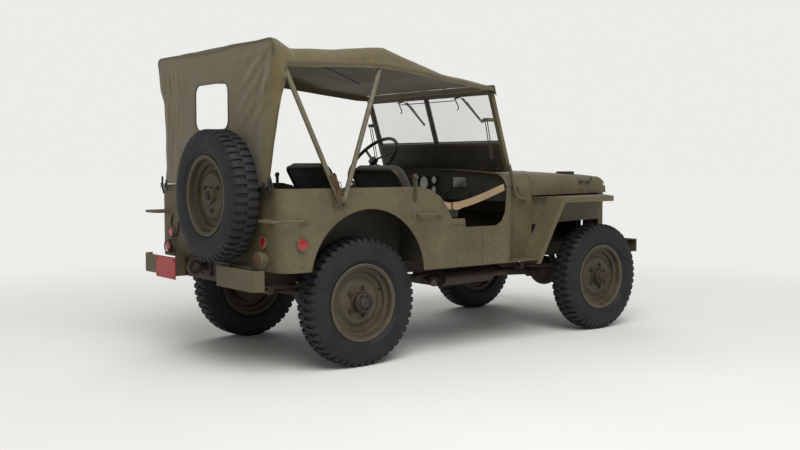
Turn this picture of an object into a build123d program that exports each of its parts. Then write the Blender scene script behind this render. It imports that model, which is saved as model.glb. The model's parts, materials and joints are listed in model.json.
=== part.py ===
"""A quarter-ton 4x4 utility car with a canvas top, built as its real pieces.

Axes: +X forward, +Y to the car's left, +Z up. The origin is on the ground under the middle of
the overall length. All sizes are millimetres. Stations are measured forward from the rear axle,
and the helpers at(), side_plane(), cross_plane() and level_plane() turn them into the car's frame.
"""
from build123d import *
from math import cos, hypot, pi, sin, tan, radians, degrees, atan2
import os

os.makedirs("parts", exist_ok=True)

# ---- driving dimensions -------------------------------------------------------------------
WHEELBASE = 2032
TRACK = 1244
FRONT_OVERHANG = 527  # front axle to the bumper's face
SPARE_STATION = -684  # middle of the spare wheel

TYRE_RADIUS = 362
TYRE_WIDTH = 168
TREAD_WIDTH = 118
FLANGE_RADIUS = 220
SEAT_RADIUS = 203  # rim's bead seat
WELL_RADIUS = 178  # rim's drop centre
RIM_WIDTH = 132
RIM_WALL = 4
DRUM_RADIUS = 128
SPINDLE_RADIUS = 20
HUB_RADIUS = 48

SHEET = 5  # body panels
BODY_WIDTH = 1500
SIDE_TOP = 1008
SIDE_BOTTOM = 525
TAIL_BOTTOM = 566
REAR_PANEL = -560  # rear face of the body
CORNER_RADIUS = 95
ARCH_HEIGHT = 500  # centre of the rear wheel arch
ARCH_RADIUS = 390
COWL_REAR = 1052
COWL_FRONT = 1433
COWL_EDGE = 1080  # top edge of the cowl's rounded shoulder
CROWN = 25  # rise of the cowl's top to its middle
SHOULDER = 112
FLOOR = 570  # top of the front floor
REAR_FLOOR = 625
FLOOR_STEP = 388  # front face of the step up to the rear floor
WHEELHOUSE_TOP = 905
WHEELHOUSE_WIDTH = 520  # half-width between the wheelhouses

HOOD_FRONT = 2391
HOOD_BOTTOM = 931
HOOD_NOSE_HALF = 415
HOOD_NOSE_EDGE = 1046
HOOD_GAP = 5

FENDER_TOP = 920
FENDER_FRONT = 2116
FENDER_REAR = 1582
FENDER_LIP = 35
FENDER_FOOT = 1362
FENDER_FOOT_HEIGHT = 500
STEP_REAR = 1037

FRAME_HALF = 371  # half-width outside the rails
RAIL_WIDTH = 44
RAIL_WALL = 5
RAIL_TOP = 565
RAIL_HEIGHT = 100
RAIL_FRONT_TOP = 590
RAIL_FRONT_HEIGHT = 90
FRAME_REAR = -605

BUMPER_HALF = 573
BUMPER_HEIGHT = 92
BUMPER_MIDDLE = 546
BUMPER_DEPTH = 50

AXLE_TUBE = 38  # radius
KINGPIN_OFFSET = 95  # inboard of the wheel's middle plane
BALL_RADIUS = 55
KNUCKLE_INNER = 57
KNUCKLE_OUTER = 66
KINGPIN_RADIUS = 12
STEERING_ARM = 165
TIE_ROD_DROP = 22  # below the axle
TIE_ROD_RADIUS = 11
ROD_EYE_HALF = 13  # half-height of the tie rod's eyes
STUD_RADIUS = 8
DIFFERENTIAL_SIDE = -150

SPRING_WIDTH = 44
LEAF = 6
LEAF_COUNT = 5
SPRING_HALF = 460
REAR_SPRING_SIDE = 430

SCREEN_FOOT = 1178  # station of the windscreen plane at SCREEN_FOOT_HEIGHT
SCREEN_FOOT_HEIGHT = 1100
SCREEN_LEAN = 0.32  # run per unit of rise
SCREEN_BOTTOM = 1088
SCREEN_TOP = 1597
SCREEN_HALF = 645
SCREEN_TUBE = 26
GLASS_BOTTOM = 1277
GLASS_TOP = 1572
ARM_SIDE = 652

STEERING_SIDE = 389
WHEEL_HUB = 868
WHEEL_HUB_HEIGHT = 1161
WHEEL_RIM = 219
COLUMN_FOOT = 1540
COLUMN_FOOT_HEIGHT = 560
COLUMN_RADIUS = 17

BOW_RADIUS = 14
BOW_PIVOT = -210
BOW_PIVOT_HEIGHT = 945
BOW_PIVOT_SIDE = 772
BOW_KNOB = 16  # round fitting at a bow's foot
REAR_BOW = -558
REAR_BOW_TOP = 1765
FRONT_BOW = 160
FRONT_BOW_TOP = 1773
BOW_TOP_SIDE = 672
BOW_BEND = 70
CANVAS = 4

FIT = 0.3  # clearance of running fits and of soft pieces on their seats

# ---- worked-out dimensions ----------------------------------------------------------------
REAR_OVERHANG = -SPARE_STATION + TYRE_WIDTH / 2
LENGTH = REAR_OVERHANG + WHEELBASE + FRONT_OVERHANG
REAR_AXLE_X = REAR_OVERHANG - LENGTH / 2
AXLE_HEIGHT = TYRE_RADIUS
BODY_HALF = BODY_WIDTH / 2
WHEEL_SIDE = TRACK / 2
KINGPIN_SIDE = WHEEL_SIDE - KINGPIN_OFFSET
BUMPER_FACE = WHEELBASE + FRONT_OVERHANG
FRONT_SPRING_SIDE = FRAME_HALF - RAIL_WIDTH / 2
SIDES = (("left", 1), ("right", -1))


# ---- helpers ------------------------------------------------------------------------------
def at(station, side, height):
    """A point of the car from its station, side and height."""
    return (REAR_AXLE_X + station, side, height)


def side_plane(side=0):
    """An upright lengthwise plane: sketches take (station, height), extrusions go to the right."""
    return Plane(origin=at(0, side, 0), x_dir=(1, 0, 0), z_dir=(0, -1, 0))


def cross_plane(station=0):
    """An upright plane across the car: sketches take (side, height), extrusions go forward."""
    return Plane(origin=at(station, 0, 0), x_dir=(0, 1, 0), z_dir=(1, 0, 0))


def level_plane(height=0):
    """A level plane: sketches take (station, side), extrusions go up."""
    return Plane(origin=at(0, 0, height), x_dir=(1, 0, 0), z_dir=(0, 0, 1))


def block(stations, widths, heights, mode=Mode.ADD):
    """A block between two stations, two sides and two heights."""
    middle = [(low + high) / 2 for low, high in (stations, widths, heights)]
    with Locations(at(*middle)):
        Box(stations[1] - stations[0], widths[1] - widths[0], heights[1] - heights[0], mode=mode)


def rod(start, end, radius, mode=Mode.ADD):
    """A straight round bar between two points given as station, side and height."""
    run = Vector(*at(*end)) - Vector(*at(*start))
    with Locations(Plane(origin=at(*start), z_dir=run)):
        Cylinder(radius, run.length, align=(Align.CENTER, Align.CENTER, Align.MIN), mode=mode)


def bent_bar(points, radius, bend):
    """A round bar along points given as station, side and height, with one bend radius."""
    with BuildLine(mode=Mode.PRIVATE) as path:
        FilletPolyline(*[at(*point) for point in points], radius=bend)
    wire = path.wire()
    with BuildSketch(Plane(origin=wire @ 0, z_dir=wire % 0), mode=Mode.PRIVATE) as section:
        Circle(radius)
    sweep(section.sketch, path=wire)


def outline(plane, points):
    """A closed sketch through the points on a plane."""
    with BuildSketch(plane, mode=Mode.PRIVATE) as sketch:
        with BuildLine():
            Polyline(*points, close=True)
        make_face()
    return sketch.sketch


def ring(points, side):
    """A solid turned about the line across the car through the part's origin, from (side, radius)."""
    revolve(outline(Plane.YZ, [(side * across, radius) for across, radius in points]), axis=Axis.Y)


def finish(part, name):
    """Name a piece and write it."""
    part.label = name
    export_step(part, f"parts/{name}.step")


def placed(part, station, side, height):
    """A copy of a part moved to its place."""
    return Pos(*at(station, side, height)) * part


# ---- wheels and tyres ---------------------------------------------------------------------
def make_rim(side):
    """The wheel's rim and disc, on the origin, its outer face to the given side."""
    half = RIM_WIDTH / 2
    flange = half - 5
    well = half - 36
    ring([(-half, FLANGE_RADIUS), (-flange, FLANGE_RADIUS), (-flange, SEAT_RADIUS), (-well, SEAT_RADIUS),
          (-well + 6, WELL_RADIUS), (well - 6, WELL_RADIUS), (well, SEAT_RADIUS), (flange, SEAT_RADIUS),
          (flange, FLANGE_RADIUS), (half, FLANGE_RADIUS), (half, FLANGE_RADIUS - RIM_WALL),
          (flange + 1, SEAT_RADIUS - RIM_WALL), (well + 3, SEAT_RADIUS - RIM_WALL),
          (well - 3, WELL_RADIUS - RIM_WALL), (-well + 3, WELL_RADIUS - RIM_WALL),
          (-well - 3, SEAT_RADIUS - RIM_WALL), (-flange - 1, SEAT_RADIUS - RIM_WALL),
          (-half, FLANGE_RADIUS - RIM_WALL)], side)
    ring([(4, WELL_RADIUS - 1), (10, WELL_RADIUS - 1), (10, 140), (26, 118), (26, HUB_RADIUS),
          (20, HUB_RADIUS), (20, 114), (4, 136)], side)


def make_hub(side):
    """The hub, brake drum and drive flange on the origin, bored for the spindle."""
    bore = SPINDLE_RADIUS + FIT
    ring([(-8, bore), (40, bore), (40, 0), (60, 0), (60, 24), (46, 26), (46, 44), (36, 62), (30, 62),
          (30, HUB_RADIUS + 1), (-2, HUB_RADIUS + 1), (-2, DRUM_RADIUS), (-52, DRUM_RADIUS),
          (-52, DRUM_RADIUS - 6), (-8, DRUM_RADIUS - 6)], side)


def make_tyre():
    """A tyre's outer shape on the origin, out to the tips of its lugs."""
    bead = RIM_WIDTH / 2 - 6
    with BuildSketch(Plane.YZ, mode=Mode.PRIVATE) as section:
        with BuildLine():
            right = ThreePointArc((bead, FLANGE_RADIUS + 1), (TYRE_WIDTH / 2, 285), (74, 338))
            crown = Polyline(right @ 1, (TREAD_WIDTH / 2, TYRE_RADIUS), (-TREAD_WIDTH / 2, TYRE_RADIUS), (-74, 338))
            left = ThreePointArc(crown @ 1, (-TYRE_WIDTH / 2, 285), (-bead, FLANGE_RADIUS + 1))
            Polyline(left @ 1, (-bead, SEAT_RADIUS + FIT), (bead, SEAT_RADIUS + FIT), right @ 0)
        make_face()
    revolve(section.sketch, axis=Axis.Y)


with BuildPart() as tyre:
    make_tyre()

wheel_shapes = {}
for side_name, side in SIDES:
    with BuildPart() as wheel:
        make_rim(side)
        make_hub(side)
    wheel_shapes[side_name] = wheel.part

for end, station in (("front", WHEELBASE), ("rear", 0)):
    for side_name, side in SIDES:
        where = (station, side * WHEEL_SIDE, AXLE_HEIGHT)
        finish(placed(wheel_shapes[side_name], *where), f"wheel_{end}_{side_name}")
        finish(placed(tyre.part, *where), f"tyre_{end}_{side_name}")

# The spare wheel stands on the rear panel with its outer face to the rear.
SPARE_SIDE = -255
SPARE_HEIGHT = 965
spare_place = Pos(*at(SPARE_STATION, SPARE_SIDE, SPARE_HEIGHT)) * Rot(0, 0, 90)
with BuildPart() as spare_wheel:
    make_rim(1)
finish(spare_place * spare_wheel.part, "spare_wheel")
finish(spare_place * tyre.part, "spare_tyre")

with BuildPart() as spare_carrier:
    disc_face = SPARE_STATION - 20
    rod((REAR_PANEL, SPARE_SIDE, SPARE_HEIGHT), (disc_face, SPARE_SIDE, SPARE_HEIGHT), 45)
    rod((disc_face + 14, SPARE_SIDE, SPARE_HEIGHT), (disc_face, SPARE_SIDE, SPARE_HEIGHT), HUB_RADIUS + 24)
    rod((disc_face, SPARE_SIDE, SPARE_HEIGHT), (disc_face - 26, SPARE_SIDE, SPARE_HEIGHT), HUB_RADIUS - 8)
    block((REAR_PANEL - 12, REAR_PANEL), (SPARE_SIDE - 150, SPARE_SIDE + 150), (860, SIDE_TOP - 8))
finish(spare_carrier.part, "spare_carrier")

# ---- frame --------------------------------------------------------------------------------
rail_front = BUMPER_FACE - BUMPER_DEPTH
rail_kick = ((1500, 0), (1700, 1))


def rail_profile(inset):
    """The rail's side view, drawn in by an inset at its top and bottom."""
    top = RAIL_TOP - inset
    front_top = RAIL_FRONT_TOP - inset
    bottom = RAIL_TOP - RAIL_HEIGHT + inset
    front_bottom = RAIL_FRONT_TOP - RAIL_FRONT_HEIGHT + inset
    rear_end, front_end = FRAME_REAR, rail_front
    return [(rear_end, bottom), (rail_kick[0][0], bottom), (rail_kick[1][0], front_bottom),
            (front_end, front_bottom), (front_end, front_top), (rail_kick[1][0], front_top),
            (rail_kick[0][0], top), (rear_end, top)]



def rail_bottom(station):
    """The height of the rail's underside at a station."""
    share = min(max((station - rail_kick[0][0]) / (rail_kick[1][0] - rail_kick[0][0]), 0), 1)
    rear_low = RAIL_TOP - RAIL_HEIGHT
    return rear_low + share * (RAIL_FRONT_TOP - RAIL_FRONT_HEIGHT - rear_low)


SPRING_TOP = AXLE_HEIGHT + AXLE_TUBE + 8 + LEAF * LEAF_COUNT
EYE_HEIGHT = SPRING_TOP - LEAF / 2
EYE_RADIUS = 13
SPRINGS = ((WHEELBASE, FRONT_SPRING_SIDE), (0, REAR_SPRING_SIDE))  # axle's station, spring's side
CROSS_MEMBERS = (  # station, width along the car, height of its middle, half its height
    (-200, 50, 520, 35), (560, 60, 515, 40), (1120, 80, 500, 30), (1760, 60, 530, 32), (2420, 60, 545, 38))

with BuildPart() as frame:
    for name, side in SIDES:
        outer = side * FRAME_HALF
        inner = side * (FRAME_HALF - RAIL_WIDTH)
        start = max(outer, inner)
        extrude(outline(side_plane(start), rail_profile(0)), amount=RAIL_WIDTH)
        hollow = max(outer - side * RAIL_WALL, inner)
        extrude(outline(side_plane(hollow), rail_profile(RAIL_WALL)), amount=RAIL_WIDTH - RAIL_WALL,
                mode=Mode.SUBTRACT)
    web = FRAME_HALF - RAIL_WALL
    for station, along, middle, half in CROSS_MEMBERS:
        block((station - along / 2, station + along / 2), (-web, web), (middle - half, middle + half))
        block((station - along / 2 + RAIL_WALL, station + along / 2 - RAIL_WALL),
              (-web, web), (middle - half - 1, middle + half - RAIL_WALL), mode=Mode.SUBTRACT)
    block((FRAME_REAR, REAR_PANEL - FIT), (-430, 430), (472, 588))
    block((FRAME_REAR + RAIL_WALL, REAR_PANEL - FIT + 1), (-430 + RAIL_WALL, 430 - RAIL_WALL),
          (472 + RAIL_WALL, 588 - RAIL_WALL), mode=Mode.SUBTRACT)
    for axle, spring_side in SPRINGS:
        for name, side in SIDES:
            for end in (-1, 1):
                eye = axle + end * SPRING_HALF
                for cheek in (-1, 1):
                    near = side * spring_side + cheek * (SPRING_WIDTH / 2 + FIT)
                    far = near + cheek * 6
                    block((eye - 16, eye + 16), (min(near, far), max(near, far)),
                          (EYE_HEIGHT - 16, rail_bottom(eye + 16) + 3))
                reach = SPRING_WIDTH / 2 + 6 + FIT
                inside = side * min(spring_side - reach, FRAME_HALF - RAIL_WALL)
                outside = side * (spring_side + reach)
                block((eye - 16, eye + 16), (min(inside, outside), max(inside, outside)),
                      (rail_bottom(eye) - 7, rail_bottom(eye) + 3))
finish(frame.part, "frame")

with BuildPart() as front_bumper:
    low, high = BUMPER_MIDDLE - BUMPER_HEIGHT / 2, BUMPER_MIDDLE + BUMPER_HEIGHT / 2
    block((BUMPER_FACE - BUMPER_DEPTH, BUMPER_FACE), (-BUMPER_HALF, BUMPER_HALF), (low, high))
    block((BUMPER_FACE - BUMPER_DEPTH - 1, BUMPER_FACE - 6), (-BUMPER_HALF - 1, BUMPER_HALF + 1),
          (low + 6, high - 6), mode=Mode.SUBTRACT)
    for name, side in SIDES:
        rail_middle = side * (FRAME_HALF - RAIL_WIDTH / 2)
        block((BUMPER_FACE - BUMPER_DEPTH, BUMPER_FACE - 5),
              (rail_middle - RAIL_WIDTH / 2, rail_middle + RAIL_WIDTH / 2), (low + 5, high - 5))
    TOW_BOLT_SIDE = 250
    TOW_BOLT_RISE = 25
    TOW_BOLT_RADIUS = 7
    for side in (-TOW_BOLT_SIDE, TOW_BOLT_SIDE):
        for rise in (-TOW_BOLT_RISE, TOW_BOLT_RISE):
            rod((BUMPER_FACE - 7, side, BUMPER_MIDDLE + rise), (BUMPER_FACE + 1, side, BUMPER_MIDDLE + rise),
                TOW_BOLT_RADIUS, mode=Mode.SUBTRACT)
finish(front_bumper.part, "front_bumper")

BUMPERETTE_REAR = -700
BUMPERETTE_LOW = 474
BUMPERETTE_HIGH = 586
with BuildPart() as bumperettes:
    for name, side in SIDES:
        with BuildSketch(level_plane(BUMPERETTE_LOW)):
            with BuildLine():
                FilletPolyline((FRAME_REAR - 3, side * 420), (FRAME_REAR - 3, side * 262),
                               (BUMPERETTE_REAR + 3, side * 262), (BUMPERETTE_REAR + 3, side * 687),
                               (BUMPERETTE_REAR + 62, side * 687), radius=(20, 28, 45))
            trace(line_width=6)
        extrude(amount=BUMPERETTE_HIGH - BUMPERETTE_LOW)
finish(bumperettes.part, "bumperettes")

PINTLE_HEIGHT = 552
with BuildPart() as pintle_hook:
    block((FRAME_REAR - 14, FRAME_REAR), (-60, 60), (PINTLE_HEIGHT - 55, PINTLE_HEIGHT + 30))
    rod((FRAME_REAR - 14, 0, PINTLE_HEIGHT), (FRAME_REAR - 50, 0, PINTLE_HEIGHT), 24)
    with BuildSketch(side_plane(18)):
        with Locations((FRAME_REAR - 85, PINTLE_HEIGHT)):
            Circle(42)
            Circle(22, mode=Mode.SUBTRACT)
    extrude(amount=36)
finish(pintle_hook.part, "pintle_hook")

PLATE = (227, 488, 457, 584)  # left and right sides, bottom and top
with BuildPart() as registration_plate:
    block((BUMPERETTE_REAR - 4, BUMPERETTE_REAR), PLATE[:2], PLATE[2:])
finish(registration_plate.part, "registration_plate")

# ---- springs, axles and steering knuckles ---------------------------------------------------
with BuildPart() as leaf_springs:
    for axle, spring_side in SPRINGS:
        for name, side in SIDES:
            low = side * spring_side - SPRING_WIDTH / 2
            high = side * spring_side + SPRING_WIDTH / 2
            for leaf in range(LEAF_COUNT):
                half = SPRING_HALF * (1 - 0.17 * leaf)
                top = SPRING_TOP - LEAF * leaf
                block((axle - half, axle + half), (low, high), (top - LEAF, top))
            for end in (-SPRING_HALF, SPRING_HALF):
                rod((axle + end, low, EYE_HEIGHT), (axle + end, high, EYE_HEIGHT), EYE_RADIUS)
finish(leaf_springs.part, "leaf_springs")

PLATE_INSET = 62  # brake backing plate inboard of the wheel's middle
with BuildPart() as axle_housings:
    for axle, spring_side in SPRINGS:
        reach = KINGPIN_SIDE if axle else WHEEL_SIDE - PLATE_INSET
        rod((axle, -reach, AXLE_HEIGHT), (axle, reach, AXLE_HEIGHT), AXLE_TUBE)
        with Locations(at(axle, DIFFERENTIAL_SIDE, AXLE_HEIGHT)):
            Sphere(105)
        nose = axle + (-170 if axle else 170)
        rod((axle, DIFFERENTIAL_SIDE, AXLE_HEIGHT), (nose, DIFFERENTIAL_SIDE, AXLE_HEIGHT + 8), 42)
        for name, side in SIDES:
            seat = side * spring_side
            block((axle - 32, axle + 32), (seat - SPRING_WIDTH / 2, seat + SPRING_WIDTH / 2),
                  (AXLE_HEIGHT, AXLE_HEIGHT + AXLE_TUBE + 8))
            if axle:
                with Locations(at(axle, side * KINGPIN_SIDE, AXLE_HEIGHT)):
                    Sphere(BALL_RADIUS)
                    Cylinder(KINGPIN_RADIUS, 2 * (KNUCKLE_OUTER + 18))
            else:
                rod((axle, side * reach, AXLE_HEIGHT), (axle, side * (reach + 6), AXLE_HEIGHT), DRUM_RADIUS - 1)
                rod((axle, side * reach, AXLE_HEIGHT), (axle, side * (WHEEL_SIDE + 35), AXLE_HEIGHT),
                    SPINDLE_RADIUS)
finish(axle_housings.part, "axle_housings")

for side_name, side in SIDES:
    with BuildPart() as knuckle:
        with Locations((0, 0, 0)):
            Sphere(KNUCKLE_OUTER)
            Cylinder(26, 2 * (KNUCKLE_OUTER + 16))
            Sphere(KNUCKLE_INNER, mode=Mode.SUBTRACT)
        with Locations((0, -side * 70, 0)):
            Box(200, 140 - 20, 2 * (KNUCKLE_INNER - 1), mode=Mode.SUBTRACT)
        with Locations((0, side * 40, 0)):
            Cylinder(DRUM_RADIUS - 1, 5, rotation=(90, 0, 0))
        with Locations((0, side * (KINGPIN_OFFSET + 35 + KNUCKLE_INNER) / 2, 0)):
            Cylinder(SPINDLE_RADIUS, KINGPIN_OFFSET + 35 - KNUCKLE_INNER, rotation=(90, 0, 0))
        Sphere(KNUCKLE_INNER, mode=Mode.SUBTRACT)
        arm_low = -KNUCKLE_OUTER - 16
        with Locations((STEERING_ARM / 2, 0, arm_low + 8)):
            Box(STEERING_ARM + 30, 26, 16)
        stud_top = -TIE_ROD_DROP + ROD_EYE_HALF + 4
        with Locations((STEERING_ARM, 0, arm_low)):
            Cylinder(12, -TIE_ROD_DROP - ROD_EYE_HALF - FIT - arm_low, align=(Align.CENTER, Align.CENTER, Align.MIN))
            Cylinder(STUD_RADIUS, stud_top - arm_low, align=(Align.CENTER, Align.CENTER, Align.MIN))
        Cylinder(KINGPIN_RADIUS + FIT, 400, mode=Mode.SUBTRACT)
    finish(placed(knuckle.part, WHEELBASE, side * KINGPIN_SIDE, AXLE_HEIGHT), f"knuckle_{side_name}")

with BuildPart() as tie_rod:
    rod_station = WHEELBASE + STEERING_ARM
    rod_height = AXLE_HEIGHT - TIE_ROD_DROP
    rod((rod_station, -KINGPIN_SIDE, rod_height), (rod_station, KINGPIN_SIDE, rod_height), TIE_ROD_RADIUS)
    for name, side in SIDES:
        with Locations(at(rod_station, side * KINGPIN_SIDE, rod_height)):
            Cylinder(17, 2 * ROD_EYE_HALF)
            Cylinder(STUD_RADIUS + FIT, 60, mode=Mode.SUBTRACT)
finish(tie_rod.part, "tie_rod")

SHOCK_RADIUS = 22
with BuildPart() as shock_absorbers:
    for axle, lean in ((WHEELBASE, -100), (0, 110)):
        for name, side in SIDES:
            foot = (axle + 0.25 * lean, side * 285, AXLE_HEIGHT + AXLE_TUBE + 2)
            head = (axle + lean, side * 300, RAIL_TOP - 50)
            rod(foot, head, SHOCK_RADIUS)
            rod(head, (axle + lean, side * (FRAME_HALF - RAIL_WALL), RAIL_TOP - 50), 10)
            rod(foot, (axle, side * 285, AXLE_HEIGHT + AXLE_TUBE), 10)
finish(shock_absorbers.part - axle_housings.part, "shock_absorbers")

# ---- engine, drive line and exhaust ---------------------------------------------------------
ENGINE = ((1500, 2130), (-150, 150), (563, 990))
with BuildPart() as engine:
    block(*ENGINE)
    for side in (-1, 1):
        block((1740, 1780), (min(side * 150, side * 326), max(side * 150, side * 326)), (562 + FIT, 585))
finish(engine.part, "engine")

with BuildPart() as gearbox:
    block((1180, 1500), (-95, 95), (405, 555))
    block((960, 1180), (-230, 60), (330, 470))
finish(gearbox.part, "gearbox")

SHAFT_RADIUS = 28
SHAFTS = (  # start station and height at the transfer case, end station and height at the axle
    ((960, 400), (170, AXLE_HEIGHT + 8)), ((1180, 400), (WHEELBASE - 170, AXLE_HEIGHT + 8)))
with BuildPart() as propeller_shafts:
    for (start, start_height), (end, end_height) in SHAFTS:
        rod((start, DIFFERENTIAL_SIDE, start_height), (end, DIFFERENTIAL_SIDE, end_height), SHAFT_RADIUS)
finish(propeller_shafts.part - gearbox.part - axle_housings.part, "propeller_shafts")

MUFFLER_SIDE = -550
MUFFLER_HEIGHT = 440
with BuildPart() as exhaust:
    with BuildSketch(cross_plane(660)):
        with Locations((MUFFLER_SIDE, MUFFLER_HEIGHT)):
            Ellipse(78, 48)
    extrude(amount=400)
    bent_bar([(1060, MUFFLER_SIDE, MUFFLER_HEIGHT), (1240, MUFFLER_SIDE, MUFFLER_HEIGHT),
              (1420, -215, MUFFLER_HEIGHT), (1600, -215, MUFFLER_HEIGHT), (1600, -215, 700),
              (1600, -150, 700)], 21, 40)
    bent_bar([(662, MUFFLER_SIDE, MUFFLER_HEIGHT), (560, MUFFLER_SIDE, MUFFLER_HEIGHT),
              (500, MUFFLER_SIDE - 120, MUFFLER_HEIGHT), (470, MUFFLER_SIDE - 190, MUFFLER_HEIGHT)], 19, 40)
    block((840, 860), (MUFFLER_SIDE - 10, MUFFLER_SIDE + 10), (MUFFLER_HEIGHT + 40, FLOOR - SHEET))
finish(exhaust.part, "exhaust")

# ---- body tub -------------------------------------------------------------------------------
COWL_SECTIONS = (  # station, half-width
    (COWL_REAR, BODY_HALF), (1098, 734), (1150, 682), (1200, 634), (1262, 608), (COWL_FRONT, 596))


def arched_section(station, half, edge, crown, bottom, shoulder):
    """A rounded, crowned arch across the car, open at the foot only in name: a closed face."""
    with BuildSketch(cross_plane(station), mode=Mode.PRIVATE) as sketch:
        with BuildLine():
            turn = shoulder * (1 - cos(pi / 4))
            left = Line((-half, bottom), (-half, edge - shoulder))
            left_arc = ThreePointArc(left @ 1, (-half + turn, edge - turn), (-half + shoulder, edge))
            top = ThreePointArc(left_arc @ 1, (0, edge + crown), (half - shoulder, edge))
            right_arc = ThreePointArc(top @ 1, (half - turn, edge - turn), (half, edge - shoulder))
            right = Line(right_arc @ 1, (half, bottom))
            Line(right @ 1, left @ 0)
        make_face()
    return sketch.sketch


def cowl_loft(inset, bottom):
    """The cowl's outer or inner shape as a ruled loft through its sections."""
    sections = [arched_section(station, half - inset, COWL_EDGE - inset, CROWN, bottom, SHOULDER - inset)
                for station, half in COWL_SECTIONS]
    loft(sections, ruled=True)


with BuildPart() as cowl_inside:
    cowl_loft(SHEET, SIDE_BOTTOM - 10)

with BuildPart() as cowl_outside:
    cowl_loft(0, SIDE_BOTTOM)

TOE_REAR = 1180
TOE_TOP = 810
FIREWALL = 1400
COLUMN_RUN = COLUMN_FOOT - WHEEL_HUB
COLUMN_FALL = WHEEL_HUB_HEIGHT - COLUMN_FOOT_HEIGHT
HINGE_HEIGHT = COWL_EDGE + CROWN + 11
HINGE_RADIUS = 6
HINGE_SIDES = (-340, 0, 340)
HINGE_LEAF = 18  # length of each of a hinge's knuckles
with BuildPart() as toe_board:
    extrude(outline(side_plane(BODY_HALF), [
        (COWL_REAR, FLOOR - SHEET), (TOE_REAR, FLOOR - SHEET), (FIREWALL, TOE_TOP - SHEET),
        (FIREWALL + SHEET, TOE_TOP - SHEET), (FIREWALL + SHEET, 1200), (FIREWALL, 1200),
        (FIREWALL, TOE_TOP), (TOE_REAR - 2, FLOOR), (COWL_REAR, FLOOR)]), amount=BODY_WIDTH)
    add(cowl_inside.part, mode=Mode.INTERSECT)
    rod((WHEEL_HUB, STEERING_SIDE, WHEEL_HUB_HEIGHT), (COLUMN_FOOT, STEERING_SIDE, COLUMN_FOOT_HEIGHT),
        COLUMN_RADIUS + FIT, mode=Mode.SUBTRACT)

with BuildPart() as cowl:
    add(cowl_outside.part)
    add(cowl_inside.part, mode=Mode.SUBTRACT)
    add(toe_board.part)
    for middle in HINGE_SIDES:
        for end in (-1, 1):
            start = middle + end * (HINGE_LEAF / 2 + 0.5)
            stop = start + end * HINGE_LEAF
            rod((COWL_FRONT, start, HINGE_HEIGHT), (COWL_FRONT, stop, HINGE_HEIGHT), HINGE_RADIUS)
            block((COWL_FRONT - 40, COWL_FRONT), (min(start, stop), max(start, stop)),
                  (HINGE_HEIGHT - 36, HINGE_HEIGHT))
finish(cowl.part, "cowl")

with BuildPart() as dashboard:
    section = arched_section(COWL_REAR + 20, BODY_HALF - SHEET - 12, COWL_EDGE - SHEET - FIT, CROWN, 905, SHOULDER)
    extrude(section, amount=4)
    add(cowl_inside.part, mode=Mode.INTERSECT)
    for gauge_side in (-30, 30):
        for height in (950, 1015):
            rod((COWL_REAR + 20, gauge_side, height), (COWL_REAR + 14, gauge_side, height), 25)
    rod((COWL_REAR + 20, 120, 985), (COWL_REAR + 12, 120, 985), 40)
    rod((WHEEL_HUB, STEERING_SIDE, WHEEL_HUB_HEIGHT), (COLUMN_FOOT, STEERING_SIDE, COLUMN_FOOT_HEIGHT),
        COLUMN_RADIUS + FIT, mode=Mode.SUBTRACT)
finish(dashboard.part, "dashboard")

DOOR_CUT = (  # station, height
    (349, SIDE_TOP), (430, 990), (508, 950), (562, 885), (602, 815), (703, 813), (709, 761), (964, 761),
    (1010, 785), (1038, 835), (COWL_REAR - 2, 930), (COWL_REAR - 1, SIDE_TOP + 60))
ARCH_FEET = ((383, 520), (-394, 596))
with BuildPart() as body_sides:
    for name, side in SIDES:
        corner = REAR_PANEL + CORNER_RADIUS
        flat = BODY_HALF if side > 0 else -BODY_HALF + SHEET
        extrude(outline(side_plane(flat), [
            (corner, TAIL_BOTTOM), (corner, SIDE_TOP), *DOOR_CUT[:-1], (COWL_REAR - 1, COWL_EDGE - SHOULDER),
            (COWL_REAR, COWL_EDGE - SHOULDER), (COWL_REAR, SIDE_BOTTOM), (383, SIDE_BOTTOM),
            (360, 560), (-385, TAIL_BOTTOM)]), amount=SHEET)
        outer = side * BODY_HALF
        block((306, 326), (min(outer, outer + side * 9), max(outer, outer + side * 9)), (933, 1058))
        rod((316, outer, 1066), (316, outer + side * 9, 1066), 15)
        pad = side * (BOW_PIVOT_SIDE - BOW_KNOB - FIT)
        block((BOW_PIVOT - 40, BOW_PIVOT + 46), (min(outer, pad), max(outer, pad)),
              (BOW_PIVOT_HEIGHT - 28, BOW_PIVOT_HEIGHT + 10))
    with BuildSketch(side_plane(BODY_HALF + 50)):
        with Locations((0, ARCH_HEIGHT)):
            Circle(ARCH_RADIUS)
    extrude(amount=BODY_WIDTH + 100, mode=Mode.SUBTRACT)
finish(body_sides.part, "body_sides")

with BuildPart() as rear_panel:
    ring_length = 4 * CORNER_RADIUS
    with BuildSketch(level_plane(TAIL_BOTTOM)):
        with Locations((REAR_PANEL + ring_length / 2, 0)):
            RectangleRounded(ring_length, BODY_WIDTH, CORNER_RADIUS)
            RectangleRounded(ring_length - 2 * SHEET, BODY_WIDTH - 2 * SHEET, CORNER_RADIUS - SHEET,
                             mode=Mode.SUBTRACT)
        with Locations((REAR_PANEL + CORNER_RADIUS + ring_length / 2, 0)):
            Rectangle(ring_length, BODY_WIDTH + 2, mode=Mode.SUBTRACT)
    extrude(amount=SIDE_TOP - TAIL_BOTTOM)
finish(rear_panel.part, "rear_panel")

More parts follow.
